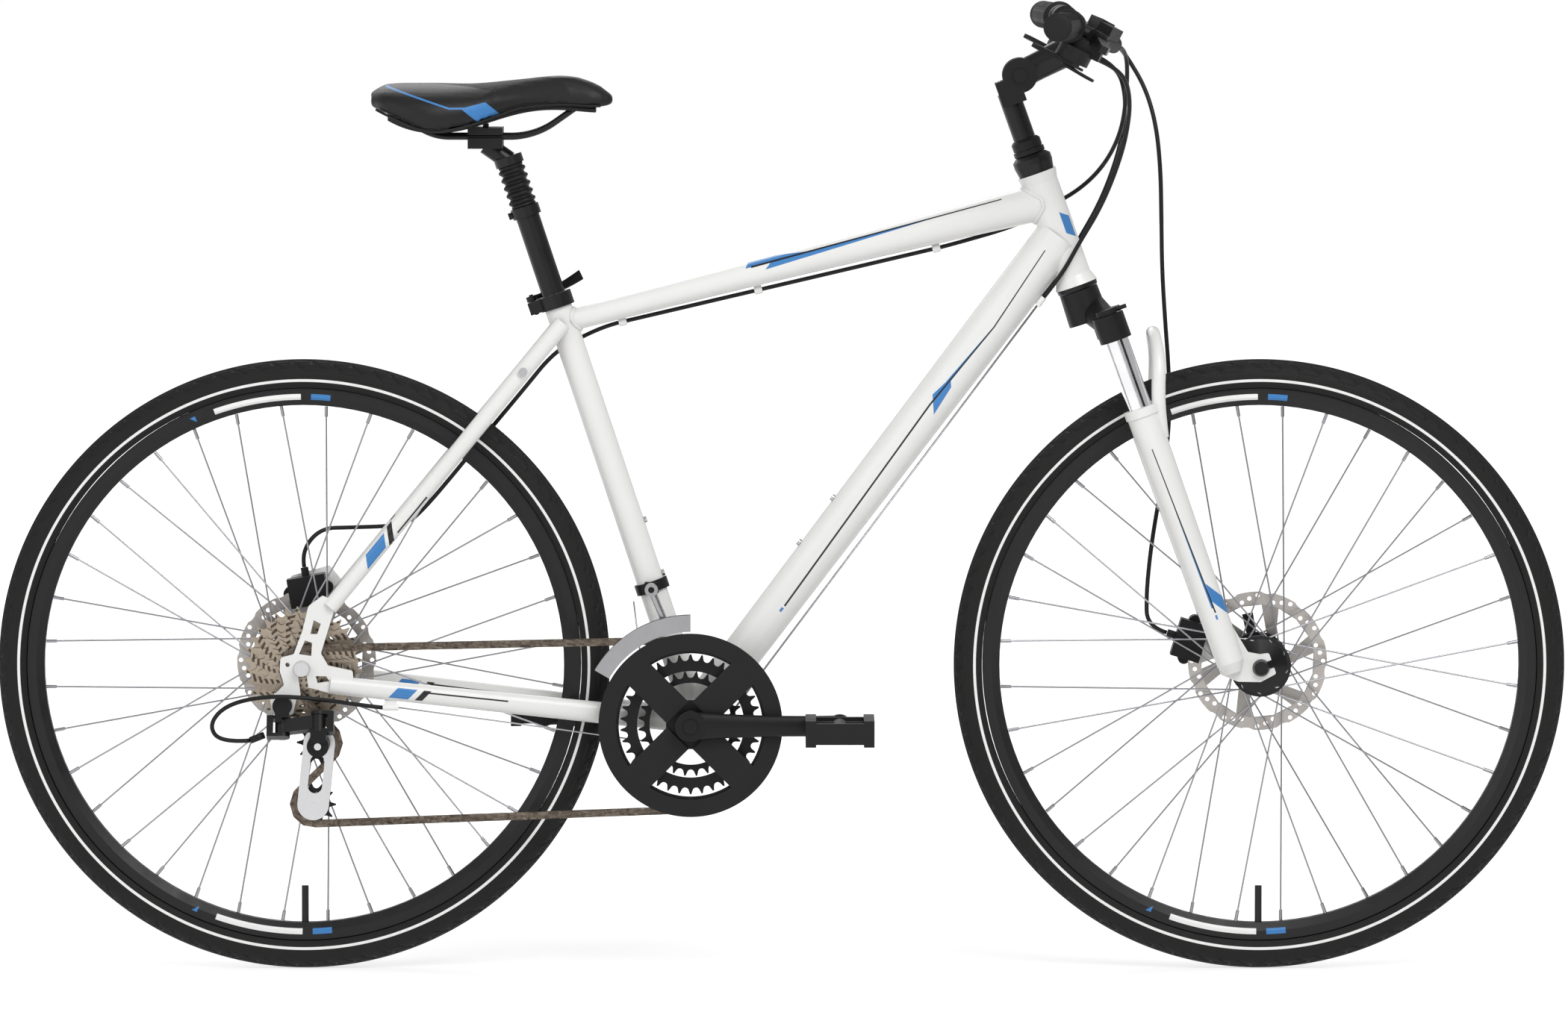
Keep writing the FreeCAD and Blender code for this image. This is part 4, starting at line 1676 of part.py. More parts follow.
def seatstay_spot(share, below=0, side=1):
    """A point by its share of the way down a seatstay, and its distance below the stay's axis."""
    top = on_seat(size.seatstay_top, 0, side * size.seatstay_top_half)
    half = float(size.rear_hub_width / 2 + size.dropout_thick / 2)
    foot = from_rear(size.seatstay_foot_x, size.seatstay_foot_up, side * half)
    run = (foot - top).normalize()
    return top + (foot - top) * share + Vector(-run.z, 0, run.x) * float(below)


def fittings():
    made = []
    for index, way in enumerate((-1, 1)):
        bolt = on_seat(size.seat_bottle_along + way * size.bottle_pitch / 2, -size.seat_tube_d / 2)
        ahead = Vector(seat_up.z, 0, -seat_up.x)
        made.append(cylinder(f"seat_boss{index}", size.boss_d, size.boss_height, bolt, ahead))
        radius = down_radius(size.down_bottle_along + way * size.bottle_pitch / 2)
        bolt = on_down_tube(size.down_bottle_along + way * size.bottle_pitch / 2, -radius)
        made.append(cylinder(f"down_boss{index}", size.boss_d, size.boss_height, bolt, -down_below))
    for side, sign in SIDES.items():
        spot = seatstay_spot(float(size.rack_boss_share), 0, sign)
        boss = cylinder(side + "_rack_boss", size.boss_d + 2, 5, spot + Y * float(sign * (size.seatstay_d / 2 - 1)),
                        Y * sign)
        made.append(cut(side + "_rack_boss_fitted", boss, doc.getObject(side + "_seatstay_outer")))
        stop = on_down_tube(size.stop_along, down_radius(size.stop_along) + size.stop_d / 2 - 0.6,
                            sign * size.stop_side)
        blank = rod(side + "_stop", size.stop_d, stop - down_run * float(size.stop_length / 2),
                    stop + down_run * float(size.stop_length / 2))
        hole = rod(side + "_stop_hole", size.gear_cable_d + 0.6, stop - down_run * 20, stop + down_run * 20)
        made.append(cut(side + "_cable_stop", blank, hole, doc.getObject("down_outer")))
    guide = box("bracket_guide", 12, 26, 3, bracket - Z * float(size.bb_shell_d / 2 + 1.2))
    shell = cylinder("bracket_guide_tool", size.bb_shell_d, size.bb_shell_width,
                     bracket - Y * float(size.bb_shell_width / 2), Y)
    made.append(cut("cable_guide", guide, shell))
    stay_stop = gear_stop
    blank = rod("stay_stop", size.stop_d, stay_stop - X * 9, stay_stop + X * 9)
    web = box("stay_stop_web", 14, 5, 9, stay_stop + Z * 4)
    hole = rod("stay_stop_hole", size.gear_cable_d + 0.6, stay_stop - X * 30, stay_stop + X * 30)
    made.append(cut("chainstay_stop", fuse("stay_stop_blank", blank, web), hole, doc.getObject("right_chainstay_outer")))
    for index, along in enumerate((size.clip_front, size.clip_middle, size.clip_rear)):
        spot = under_top_tube(along, size.hose_side)
        run = (top_head - top_seat).normalize()
        ring = cylinder(f"hose_clip_ring{index}", size.hose_d + 5, 9, spot - run * 4.5, run)
        hole = cylinder(f"hose_clip_hole{index}", size.hose_d + 1, 20, spot - run * 10, run)
        made.append(cut(f"hose_clip{index}", ring, hole, doc.getObject("top_outer")))
    node("frame_fittings", *made)


# Hoses and cables
def hose(label, diameter, routes):
    solids = []
    for points in routes:
        print(label, "radii", [round(radius) for radius in path_radii(points)])
        solids.append(pipe(points, diameter))
    return shape(label + "_set", Part.Compound(solids))


def control_exits(sign):
    """Where the brake hose and the shift housing leave one side's controls."""
    place = bar_frame(sign)
    out = place.at(size.brake_clamp_in - 12, size.cylinder_ahead - 4, 0)
    inner = place.at(size.brake_clamp_in + size.cylinder_length, size.cylinder_ahead + 14, 0)
    run = (inner - out).normalize()
    pod = place.at(size.shift_clamp_in + size.pod_d / 2 + 2, size.pod_ahead, -size.pod_drop - size.pod_height / 2)
    return inner + run * 10, run, pod, -place.out


gear_stop = from_rear(size.stay_stop_ahead, -size.stay_stop_drop, -size.stay_stop_side)


def near_head(ahead, side, up):
    return head_top + Vector(ahead, side, up)


def near_front(ahead, side, up):
    return front_axle + Vector(ahead, side, up)


def near_rear(ahead, side, up):
    return rear_axle + Vector(ahead, side, up)


def front_hose():
    start, run, _, _ = control_exits(1)
    end, leave = caliper_port(front_axle, -size.front_caliper_back, size.front_caliper_up, size.front_rotor_plane, -73)
    points = [start, start + run * 16, near_head(106.6, 92, 129.1), near_head(126.6, 78, 95.1),
              near_head(138.6, 66, 53.1), near_head(143.6, 60, 2.1), near_head(144.6, 58, -52.9),
              near_head(145.6, 62, -112.9), near_head(149.6, 70, -172.9), near_front(-101, 79, 330),
              near_front(-100, 85, 270), near_front(-107, 88, 210), near_front(-117, 84, 155),
              near_front(-123, 74, 115), near_front(-127, 62, 75), end + leave * 24, end]
    node("front_brake_hose", hose("front_hose", size.hose_d, [points]))


def rear_hose():
    start, run, _, _ = control_exits(-1)
    end, leave = caliper_port(rear_axle, size.rear_caliper_ahead, size.rear_caliper_up, size.rear_rotor_plane, -10)
    side = float(size.hose_side)
    clips = [under_top_tube(along, side) for along in (size.clip_front, size.clip_middle, size.clip_rear)]
    run_in = (clips[0] - clips[2]).normalize() * 14
    threaded = [spot for clip in clips for spot in (clip + run_in, clip - run_in)]
    points = [start, start + run * 16, near_head(100.6, -84, 131.1), near_head(100.6, -58, 93.1),
              near_head(96.6, -28, 51.1),
              near_head(80.6, 6, 13.1), near_head(54.6, 34, -16.9), near_head(18.6, 42, -38.9),
              near_head(-19.4, 30, -60.9), *threaded,
              seat_top + Vector(38.7, 20, -46.3), seatstay_spot(0.08, 14), seatstay_spot(0.22, 14.5),
              seatstay_spot(0.36, 14),
              seatstay_spot(0.5, 14.5), seatstay_spot(0.64, 14), seatstay_spot(0.72, 10) + Y * 14,
              end + Vector(52, 22, 44), end + Vector(18, 12, 44), end + leave * 18, end]
    node("rear_brake_hose", hose("rear_hose", size.hose_d, [points]))


def caliper_port(at, ahead, up, plane, lean):
    """The end of a caliper's hose fitting, and the direction it points."""
    side = at + Vector(float(ahead), float(plane), float(up))
    leave = Rotation(Y, lean).multVec(Z)
    reach = size.caliper_height / 2 * 0.75 + size.banjo_length + size.crown_gap
    return side + leave * float(reach) + Y * float(size.caliper_half / 2), leave


def shift_lines():
    """Housings from both shifters to the down tube, then the bare wires and the loop to the rear derailleur."""
    housings = []
    wires = []
    for side, sign in SIDES.items():
        _, _, pod, run = control_exits(sign)
        stop = on_down_tube(size.stop_along, down_radius(size.stop_along) + size.stop_d / 2 - 0.6,
                            sign * size.stop_side)
        top = stop + down_run * float(size.stop_length / 2)
        housings.append([pod, pod + run * 22 + X * 6, near_head(94.6, sign * 118, 119.1),
                         near_head(104.6, sign * 84, 87.1), near_head(100.6, sign * 58, 44.1),
                         near_head(88.6, sign * 42, 2.1), near_head(70.6, sign * 34, -40.9),
                         near_head(46.6, sign * 30, -80.9), top + down_run * 34 + Y * sign * 15,
                         top + down_run * 12, top + down_run * 0.3])
        foot = stop - down_run * float(size.stop_length / 2 + 0.3)
        turn = on_down_tube(10, down_radius(0) + 10, sign * 8)
        under = bracket + Vector(0, sign * 8, -float(size.bb_shell_d / 2) - 10)
        if sign < 0:
            wires.append([foot, turn, under, gear_stop + X * 9.3])
        else:
            wires.append([foot, turn, under, under + Vector(-26, -3, 8), bracket + Vector(-54, -9, 45),
                          on_seat(size.band_along - 9, size.seat_tube_d / 2 + 9, -16)])
    node("shift_housings", hose("housing", size.housing_d, housings))
    adjuster = link_root + Vector(-20, -6, -8)
    barrel = adjuster + Vector(-16, -3, -6)
    loop = [gear_stop - X * 9.3, gear_stop + Vector(-32, -6, 3), near_rear(17, -92, -32),
            near_rear(-38, -100, -28),
            near_rear(-85, -102, -38), near_rear(-105, -100, -62), near_rear(-91, -96, -82), barrel]
    bare = hose("wire", size.gear_cable_d, wires)
    cover = hose("loop", size.housing_d, [loop])
    tip = rod("adjuster", size.housing_d + 3, adjuster, barrel)
    node("gear_cables", bare, cover, tip)


fittings()
front_hose()
rear_hose()
shift_lines()


# Check every object, then write one file for each sub-part.
def write_parts():
    doc.recompute()
    for item in doc.Objects:
        if "Invalid" in item.State or "Error" in item.State:
            raise RuntimeError(f"{item.Name} did not build: {item.State}")
    os.makedirs("parts", exist_ok=True)
    for label, feature in NODES.items():
        if feature.Shape.isNull() or not feature.Shape.isValid():
            raise RuntimeError(f"{label} has no valid shape")
        if not feature.Shape.Solids:
            raise RuntimeError(f"{label} has no solid")
        feature.Shape.exportStep(f"parts/{label}.step")


write_parts()
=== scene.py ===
import math

import bmesh
import bpy
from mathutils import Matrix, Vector


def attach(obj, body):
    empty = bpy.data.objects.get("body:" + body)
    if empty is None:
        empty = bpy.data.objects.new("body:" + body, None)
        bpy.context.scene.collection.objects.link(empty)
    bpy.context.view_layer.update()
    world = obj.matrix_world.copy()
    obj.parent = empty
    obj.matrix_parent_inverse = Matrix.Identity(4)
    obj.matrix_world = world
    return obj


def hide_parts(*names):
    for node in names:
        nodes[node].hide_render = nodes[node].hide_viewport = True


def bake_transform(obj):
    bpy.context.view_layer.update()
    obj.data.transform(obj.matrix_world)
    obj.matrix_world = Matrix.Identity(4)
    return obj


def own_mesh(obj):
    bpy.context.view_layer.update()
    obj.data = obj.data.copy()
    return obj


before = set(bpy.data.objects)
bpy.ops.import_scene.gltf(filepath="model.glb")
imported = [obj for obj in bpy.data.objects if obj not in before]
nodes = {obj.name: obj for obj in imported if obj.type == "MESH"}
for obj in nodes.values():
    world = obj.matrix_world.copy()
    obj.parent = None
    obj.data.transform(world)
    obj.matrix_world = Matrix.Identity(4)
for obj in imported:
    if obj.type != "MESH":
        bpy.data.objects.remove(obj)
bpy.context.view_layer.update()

# Points of the bike that several pieces share, in metres.
REAR_AXLE = Vector((-0.547, 0, 0.350))
FRONT_AXLE = Vector((0.547, 0, 0.350))
BRACKET = Vector((-0.104, 0, 0.285))
STEER_UP = Vector((-0.33545, 0, 0.94206))
HEAD_FOOT = Vector((0.336996, 0, 0.784744))
HEAD_TOP = Vector((0.291375, 0, 0.912864))
SEAT_UP = Vector((-0.31730, 0, 0.94832))
SEAT_FOOT = Vector((-0.097, 0, 0.285))
DOWN_RUN = Vector((0.6034, 0, 0.7975))
TOP_SEAT = SEAT_FOOT + SEAT_UP * 0.482
TOP_RUN = (HEAD_TOP - STEER_UP * 0.034 - TOP_SEAT).normalized()
ACCENT = (0.048, 0.20, 0.48, 1)
INK = (0.012, 0.012, 0.014, 1)

# Plain finishes: colour, roughness, scale and depth of the grain, then metal and coat.
PLAIN = {
    "anodised_black": ((0.009, 0.009, 0.010, 1), 0.34, 2600.0, 0.00003, 0.1, 0.12),
    "cast_black": ((0.008, 0.008, 0.009, 1), 0.42, 1500.0, 0.00006, 0.05),
    "moulded_black": ((0.011, 0.011, 0.012, 1), 0.50, 1900.0, 0.00008),
    "hose_black": ((0.008, 0.008, 0.009, 1), 0.40, 2400.0, 0.00004),
    "bright_steel": ((0.66, 0.66, 0.67, 1), 0.24, 3200.0, 0.00002, 1.0),
    "cage_steel": ((0.40, 0.40, 0.41, 1), 0.30, 1800.0, 0.00002, 1.0),
    "spoke_steel": ((0.34, 0.34, 0.36, 1), 0.30, 2500.0, 0.00002, 1.0),
    "hard_chrome": ((0.80, 0.80, 0.82, 1), 0.12, 3000.0, 0.00001, 1.0, 0.2),
    "wire_steel": ((0.42, 0.42, 0.43, 1), 0.32, 2400.0, 0.00005, 1.0),
    "grip_rubber": ((0.009, 0.009, 0.0095, 1), 0.60, 1600.0, 0.0001),
    "boot_rubber": ((0.008, 0.008, 0.008, 1), 0.5, 1500.0, 0.00006),
    "saddle_welt": ((0.007, 0.007, 0.0075, 1), 0.5, 1500.0, 0.0001),
    "left_flag_cloth": ((0.02, 0.02, 0.02, 1), 0.9, 300.0, 0.0001),
    "right_flag_cloth": ((0.02, 0.02, 0.02, 1), 0.9, 300.0, 0.0001),
}


class Tone:
    """One socket of a node; arithmetic on it adds the Math nodes."""

    def __init__(self, web, socket):
        self.web = web
        self.socket = socket

    def math(self, operation, *values):
        return self.web.node("ShaderNodeMath", {"operation": operation}, dict(enumerate(values)))

    def __add__(self, other):
        return self.math("ADD", self, other)

    def __sub__(self, other):
        return self.math("SUBTRACT", self, other)

    def __mul__(self, other):
        return self.math("MULTIPLY", self, other)

    def __truediv__(self, other):
        return self.math("DIVIDE", self, other)

    def __radd__(self, other):
        return self.math("ADD", other, self)

    def __rsub__(self, other):
        return self.math("SUBTRACT", other, self)

    def __rmul__(self, other):
        return self.math("MULTIPLY", other, self)

    def __rtruediv__(self, other):
        return self.math("DIVIDE", other, self)

    def root(self):
        return self.math("SQRT", self)

    def wave(self):
        return self.math("SINE", self)

    def size(self):
        return self.math("ABSOLUTE", self)

    def larger(self, *others):
        """The largest of this value and the others."""
        most = self
        for other in others:
            most = self.math("MAXIMUM", most, other)
        return most

    def within(self, low, high, soft=0.0004):
        """One between low and high, falling to nothing over a soft edge."""
        up = self.web.ramp(self, low - soft, low)
        return up * (1 - self.web.ramp(self, high, high + soft))


class Web:
    """The nodes of one tree, all made by one method."""

    def __init__(self, tree):
        self.tree = tree

    def node(self, kind, settings, sockets, output=0):
        made = self.tree.nodes.new(kind)
        for name, value in settings.items():
            setattr(made, name, value)
        for name, value in sockets.items():
            if isinstance(value, Tone):
                self.tree.links.new(value.socket, made.inputs[name])
            else:
                made.inputs[name].default_value = value
        return Tone(self, made.outputs[output])

    def surface(self, tone, end):
        """Make a shader the tree's result."""
        self.tree.links.new(tone.socket, self.tree.nodes[end].inputs["Surface"])


class Finish(Web):
    """A material under construction, with its shader."""

    def __init__(self, name):
        self.material = bpy.data.materials.new(name)
        self.material.use_nodes = True
        super().__init__(self.material.node_tree)
        self.shader = self.tree.nodes["Principled BSDF"]

    def place(self):
        """The point on the surface, in the bike's own frame."""
        return self.node("ShaderNodeTexCoord", {}, {}, "Object")

    def axes(self):
        place = self.place()
        return [self.node("ShaderNodeSeparateXYZ", {}, {"Vector": place}, axis) for axis in ("X", "Y", "Z")]

    def noise(self, scale, detail=3.0):
        return self.node("ShaderNodeTexNoise", {}, {
            "Vector": self.place(), "Scale": scale, "Detail": detail, "Roughness": 0.55}, "Fac")

    def cells(self, scale):
        return self.node("ShaderNodeTexVoronoi", {"feature": "DISTANCE_TO_EDGE"},
                         {"Vector": self.place(), "Scale": scale}, "Distance")

    def ramp(self, value, low, high, start=0.0, end=1.0):
        return self.node("ShaderNodeMapRange", {}, {
            "Value": value, "From Min": low, "From Max": high, "To Min": start, "To Max": end})

    def mix(self, mask, under, over):
        return self.node("ShaderNodeMix", {"data_type": "RGBA"}, {0: mask, 6: under, 7: over}, 2)

    def along(self, origin, run):
        """Distance from a point along a direction in the bike's side view."""
        x, _, z = self.axes()
        return (x - origin.x) * run.x + (z - origin.z) * run.z

    def radius(self, axle):
        """Distance from an axle in the bike's side view."""
        x, _, z = self.axes()
        across = x - axle.x
        high = z - axle.z
        return (across * across + high * high).root()

    def slash(self, origin, run, span, depth, lean=0.0):
        """A slanting flash: span along a tube, depth across it, both in metres."""
        across = Vector((run.z, 0, -run.x))
        far = self.along(origin, run)
        out = self.along(origin, across)
        return (far + out * lean).within(*span) * out.within(*depth)

    def taper(self, origin, run, span, start, end, lean=0.0):
        """A flash whose two edges run from the start depths to the end depths."""
        across = Vector((run.z, 0, -run.x))
        out = self.along(origin, across)
        reach = self.along(origin, run) + out * lean
        part = (reach - span[0]) * (1.0 / (span[1] - span[0]))
        low = part * (end[0] - start[0]) + start[0]
        high = part * (end[1] - start[1]) + start[1]
        return reach.within(*span) * (out - low).within(0.0, 1.0) * (high - out).within(0.0, 1.0)

    def set(self, **values):
        for name, value in values.items():
            socket = self.shader.inputs[name.replace("_", " ").title()]
            if isinstance(value, Tone):
                self.tree.links.new(value.socket, socket)
            else:
                socket.default_value = value

    def specular(self, level):
        self.shader.inputs["Specular IOR Level"].default_value = level

    def bump(self, height, depth, strength=0.6):
        self.set(normal=self.node("ShaderNodeBump", {}, {
            "Height": height, "Distance": depth, "Strength": strength}))
        return self


def shade(colour, factor):
    return (colour[0] * factor, colour[1] * factor, colour[2] * factor, 1)


def plain_finish(name, colour, rough, grain, depth, metal=0.0, coat=0.0):
    """A mottled colour, an uneven gloss and a fine surface grain."""
    finish = Finish(name)
    finish.specular(0.24)
    cloud = finish.noise(38.0, 4.0)
    fine = finish.noise(grain, 2.0)
    finish.set(base_color=finish.mix(cloud, shade(colour, 0.82), shade(colour, 1.16)), metallic=metal,
               roughness=finish.ramp(cloud + fine * 0.6, 0.5, 1.2, rough - 0.07, rough + 0.09),
               coat_weight=coat, coat_roughness=0.12)
    return finish.bump(fine, depth)


def plain(name):
    return plain_finish(name, *PLAIN[name])


def oiled_steel():
    """Chain steel: each plate its own brown-grey, with darker oil in patches."""
    finish = Finish("oiled_steel")
    oil = finish.noise(210.0, 5.0)
    each = finish.node("ShaderNodeNewGeometry", {}, {}, "Random Per Island")
    plate = finish.mix(each, (0.07, 0.056, 0.045, 1), (0.24, 0.195, 0.155, 1))
    finish.set(base_color=finish.mix(finish.ramp(oil, 0.45, 0.8), plate, (0.045, 0.037, 0.031, 1)),
               metallic=0.85, roughness=finish.ramp(oil, 0.3, 0.7, 0.28, 0.5))
    return finish.bump(oil, 0.00005)


def plated_sprockets():
    """Nickel plate with a warm tint, a turned finish round the hub, and painted shade in rings of slots."""
    finish = Finish("plated_sprockets")
    x, _, z = finish.axes()
    far = finish.radius(REAR_AXLE)
    turn = finish.noise(60.0, 2.0)
    lines = (far * 9000.0 + turn * 6.0).wave()
    angle = z.math("ARCTAN2", z - REAR_AXLE.z, x - REAR_AXLE.x)
    # Painted shade: darker spots of the plate's own tint, in rings round the hub where the slots are.
    slot_shade = finish.ramp((angle * 16.0 + far * 180.0).wave(), 0.25, 0.40)
    band = finish.ramp((far * 1010.0).wave(), 0.0, 0.15)
    plate = finish.mix(turn, (0.36, 0.30, 0.235, 1), (0.50, 0.43, 0.35, 1))
    finish.set(base_color=finish.mix(slot_shade * band, plate, (0.10, 0.08, 0.06, 1)), metallic=1.0,
               roughness=finish.ramp(lines, -1.0, 1.0, 0.26, 0.38))
    return finish.bump(lines, 0.00002, 0.4)


def ground_rotor(name, axle):
    """Stainless disc: a track ground in circles, and darker arms."""
    finish = Finish(name)
    far = finish.radius(axle)
    track = far.within(0.066, 0.081, 0.001)
    lines = (far * 14000.0 + finish.noise(90.0) * 5.0).wave()
    finish.set(base_color=finish.mix(track, (0.36, 0.34, 0.32, 1), (0.50, 0.47, 0.44, 1)), metallic=1.0,
               roughness=finish.ramp(lines, -1.0, 1.0, 0.26, 0.36) + track * -0.04)
    return finish.bump(lines * track, 0.00002, 0.4)


def tyre_rubber(name, axle):
    """Black rubber with a white reflecting line on each side and fine moulding rings."""
    finish = Finish(name)
    _, y, _ = finish.axes()
    far = finish.radius(axle)
    line = far.within(0.3250, 0.3278, 0.0003) * y.size().within(0.012, 0.03)
    dust = finish.noise(120.0, 5.0)
    rings = (far * 5200.0).wave() * (1 - line)
    rubber = finish.mix(dust, (0.008, 0.008, 0.008, 1), (0.015, 0.0145, 0.014, 1))
    finish.specular(0.22)
    finish.set(base_color=finish.mix(line, rubber, (0.80, 0.81, 0.80, 1)),
               roughness=finish.ramp(dust, 0.3, 0.7, 0.58, 0.72) - line * 0.2)
    return finish.bump(rings * 0.25 + finish.noise(1400.0), 0.00012)


def rim_black(name, axle):
    """Black rim with a pale bar between two blue ones, at the top and the bottom of each side."""
    finish = Finish(name)
    x, y, z = finish.axes()
    across = x - axle.x
    high = z - axle.z
    far = (across * across + high * high).root()
    band = far.within(0.3035, 0.3105, 0.0003) * y.size().within(0.0105, 0.02)
    along = across * 0.42 + high.size() * 0.9
    turn = across / far
    pale = turn.within(-0.33, -0.01, 0.002) * band
    blue = (turn.within(0.03, 0.10, 0.002) + turn.within(-0.44, -0.40, 0.002)) * band
    grain = finish.noise(1800.0)
    cloud = finish.noise(40.0)
    base = finish.mix(cloud, (0.008, 0.008, 0.009, 1), (0.014, 0.014, 0.015, 1))
    finish.specular(0.3)
    tip = along.within(0.2, 0.4, 0.001)
    base = finish.mix(pale * tip, base, (0.82, 0.82, 0.81, 1))
    finish.set(base_color=finish.mix(blue * tip, base, ACCENT), metallic=0.0,
               roughness=finish.ramp(cloud + grain * 0.4, 0.4, 1.0, 0.32, 0.48))
    return finish.bump(grain, 0.00004)


def pearl_paint(name):
    """White pearl paint under clear lacquer: fine flakes and a faint orange-peel surface."""
    finish = Finish(name)
    flakes = finish.cells(2600.0)
    cloud = finish.noise(9.0, 2.0)
    white = finish.mix(cloud, (0.72, 0.715, 0.695, 1), (0.77, 0.77, 0.755, 1))
    white = finish.mix(finish.ramp(flakes, 0.0, 0.25, 0.10, 0.0), white, (0.84, 0.84, 0.86, 1))
    finish.set(roughness=finish.ramp(cloud, 0.3, 0.7, 0.30, 0.38), coat_weight=0.22, coat_roughness=0.08)
    finish.specular(0.3)
    finish.bump(finish.noise(260.0, 1.0), 0.000004, 0.1)
    return finish, white


def frame_paint():
    """The frame's paint with plain flashes and pinstripes on its tubes."""
    finish, white = pearl_paint("frame_paint")
    steer_down = STEER_UP * -1
    top_line = finish.taper(TOP_SEAT, TOP_RUN, (0.224, 0.520), (-0.0103, -0.0085), (-0.0155, -0.0147))
    top_flash = finish.taper(TOP_SEAT, TOP_RUN, (0.210, 0.282), (-0.0185, -0.0094), (-0.0112, -0.0104), 0.8)
    top_tail = finish.taper(TOP_SEAT, TOP_RUN, (0.236, 0.430), (-0.0094, -0.0030), (-0.0138, -0.0136), 1.2)
    low_line = finish.taper(BRACKET, DOWN_RUN, (0.171, 0.456), (0.0043, 0.0061), (-0.0026, -0.0010))
    mid_line = finish.taper(BRACKET, DOWN_RUN, (0.456, 0.570), (-0.0026, -0.0010), (0.0024, 0.0036))
    down_line = finish.taper(BRACKET, DOWN_RUN, (0.570, 0.675), (0.0024, 0.0036), (-0.0040, -0.0032))
    down_flash = finish.taper(BRACKET, DOWN_RUN, (0.459, 0.492), (-0.0062, 0.0086), (-0.0016, 0.0054), 1.15)
    down_tail = finish.taper(BRACKET, DOWN_RUN, (0.488, 0.566), (-0.0028, 0.0006), (0.0022, 0.0026))
    down_end = finish.slash(BRACKET, DOWN_RUN, (0.163, 0.168), (0.0035, 0.0061))
    stay_run = Vector((-0.636, 0, -0.772))
    stay_flash = finish.slash(TOP_SEAT, stay_run, (0.318, 0.350), (-0.006, 0.006), 0.9)
    stay_ink = finish.slash(TOP_SEAT, stay_run, (0.304, 0.312), (-0.008, 0.008), 0.9)
    stay_pin = finish.slash(TOP_SEAT, stay_run, (0.250, 0.302), (-0.0065, -0.0050))
    chain_run = (Vector((-0.515, 0, 0.332)) - BRACKET).normalized()
    chain_flash = finish.slash(BRACKET, chain_run, (0.318, 0.340), (-0.007, 0.005), 0.8)
    chain_ink = finish.slash(BRACKET, chain_run, (0.302, 0.310), (-0.007, 0.005), 0.8)
    chain_pin = finish.slash(BRACKET, chain_run, (0.210, 0.301), (0.0020, 0.0034))
    head_flash = finish.slash(HEAD_TOP, steer_down, (0.043, 0.068), (-0.018, -0.009), 0.8)
    blue = top_flash.larger(top_tail, down_flash, down_tail, stay_flash, chain_flash, head_flash, down_end)
    ink = top_line.larger(low_line, mid_line, down_line, stay_ink, stay_pin, chain_ink, chain_pin)
    finish.set(base_color=finish.mix(ink, finish.mix(blue, white, ACCENT), INK))
    return finish


def fork_paint():
    """The sliding legs' paint, with flashes down the outside of each leg."""
    finish, white = pearl_paint("fork_paint")
    leg = HEAD_FOOT + Vector((0.01978, 0, 0.00704))
    down = STEER_UP * -1
    pin = finish.taper(leg, down, (0.201, 0.401), (0.0028, 0.0036), (-0.0034, -0.0020))
    edge = finish.taper(leg, down, (0.274, 0.395), (0.0012, 0.0016), (-0.0022, -0.0002))
    lower = finish.slash(leg, down, (0.3614, 0.3826), (-0.0185, -0.0030), 1.55)
    tail = finish.slash(leg, down, (0.404, 0.409), (-0.0032, -0.0012))
    blue = edge.larger(lower, tail)
    finish.set(base_color=finish.mix(pin, finish.mix(blue, white, ACCENT), INK))
    return finish


def saddle_vinyl():
    """Grained black vinyl with a blue flash and line on each side and a pebbled panel on top."""
    finish = Finish("saddle_vinyl")
    x, y, z = finish.axes()
    pebbles = finish.cells(620.0)
    grain = finish.noise(900.0, 4.0)
    panel = finish.ramp(z, 0.998, 1.004) * (y.size() * 2.1 - x).within(0.285, 0.415, 0.004)
    side = y.size().within(0.018, 0.20, 0.002)
    ends = (x + (z - 0.98) * 1.2).within(-0.354, -0.319, 0.0008)
    edges = (z - x * 0.25).within(1.03, 1.0794, 0.0006)
    flash = ends * edges * side
    slope = (z - 1.0145 + (x + 0.454) * 0.34).size().within(-0.01, 0.0009)
    slope = slope * x.within(-0.456, -0.3775) * side
    level = (z - 0.9886).size().within(-0.01, 0.0009) * x.within(-0.3785, -0.360) * side
    line = slope.larger(level)
    colour = finish.mix(grain, (0.006, 0.006, 0.0065, 1), (0.012, 0.012, 0.013, 1))
    finish.specular(0.3)
    finish.set(base_color=finish.mix(flash.larger(line), colour, ACCENT),
               roughness=finish.ramp(grain, 0.3, 0.7, 0.42, 0.56) + panel * 0.14)
    return finish.bump(grain * 0.6 + finish.ramp(pebbles, 0.0, 0.2) * panel, 0.00022)


def trim_finish():
    """Bosses and bolts in bright steel, and cable stops and clips in white paint."""
    finish = Finish("frame_trim")
    x, _, z = finish.axes()
    grain = finish.noise(1200.0)
    clips = finish.ramp(z, 0.700, 0.705)
    stay = (x + 0.446).size().within(-0.01, 0.02, 0.001)
    stops = (x - 0.296).size().within(-0.01, 0.018, 0.001)
    painted = clips.larger(stay, stops)
    finish.set(base_color=finish.mix(painted, (0.55, 0.55, 0.56, 1), (0.80, 0.80, 0.785, 1)),
               metallic=1 - painted, roughness=finish.ramp(grain, 0.3, 0.7, 0.26, 0.38))
    return finish.bump(grain, 0.00003)


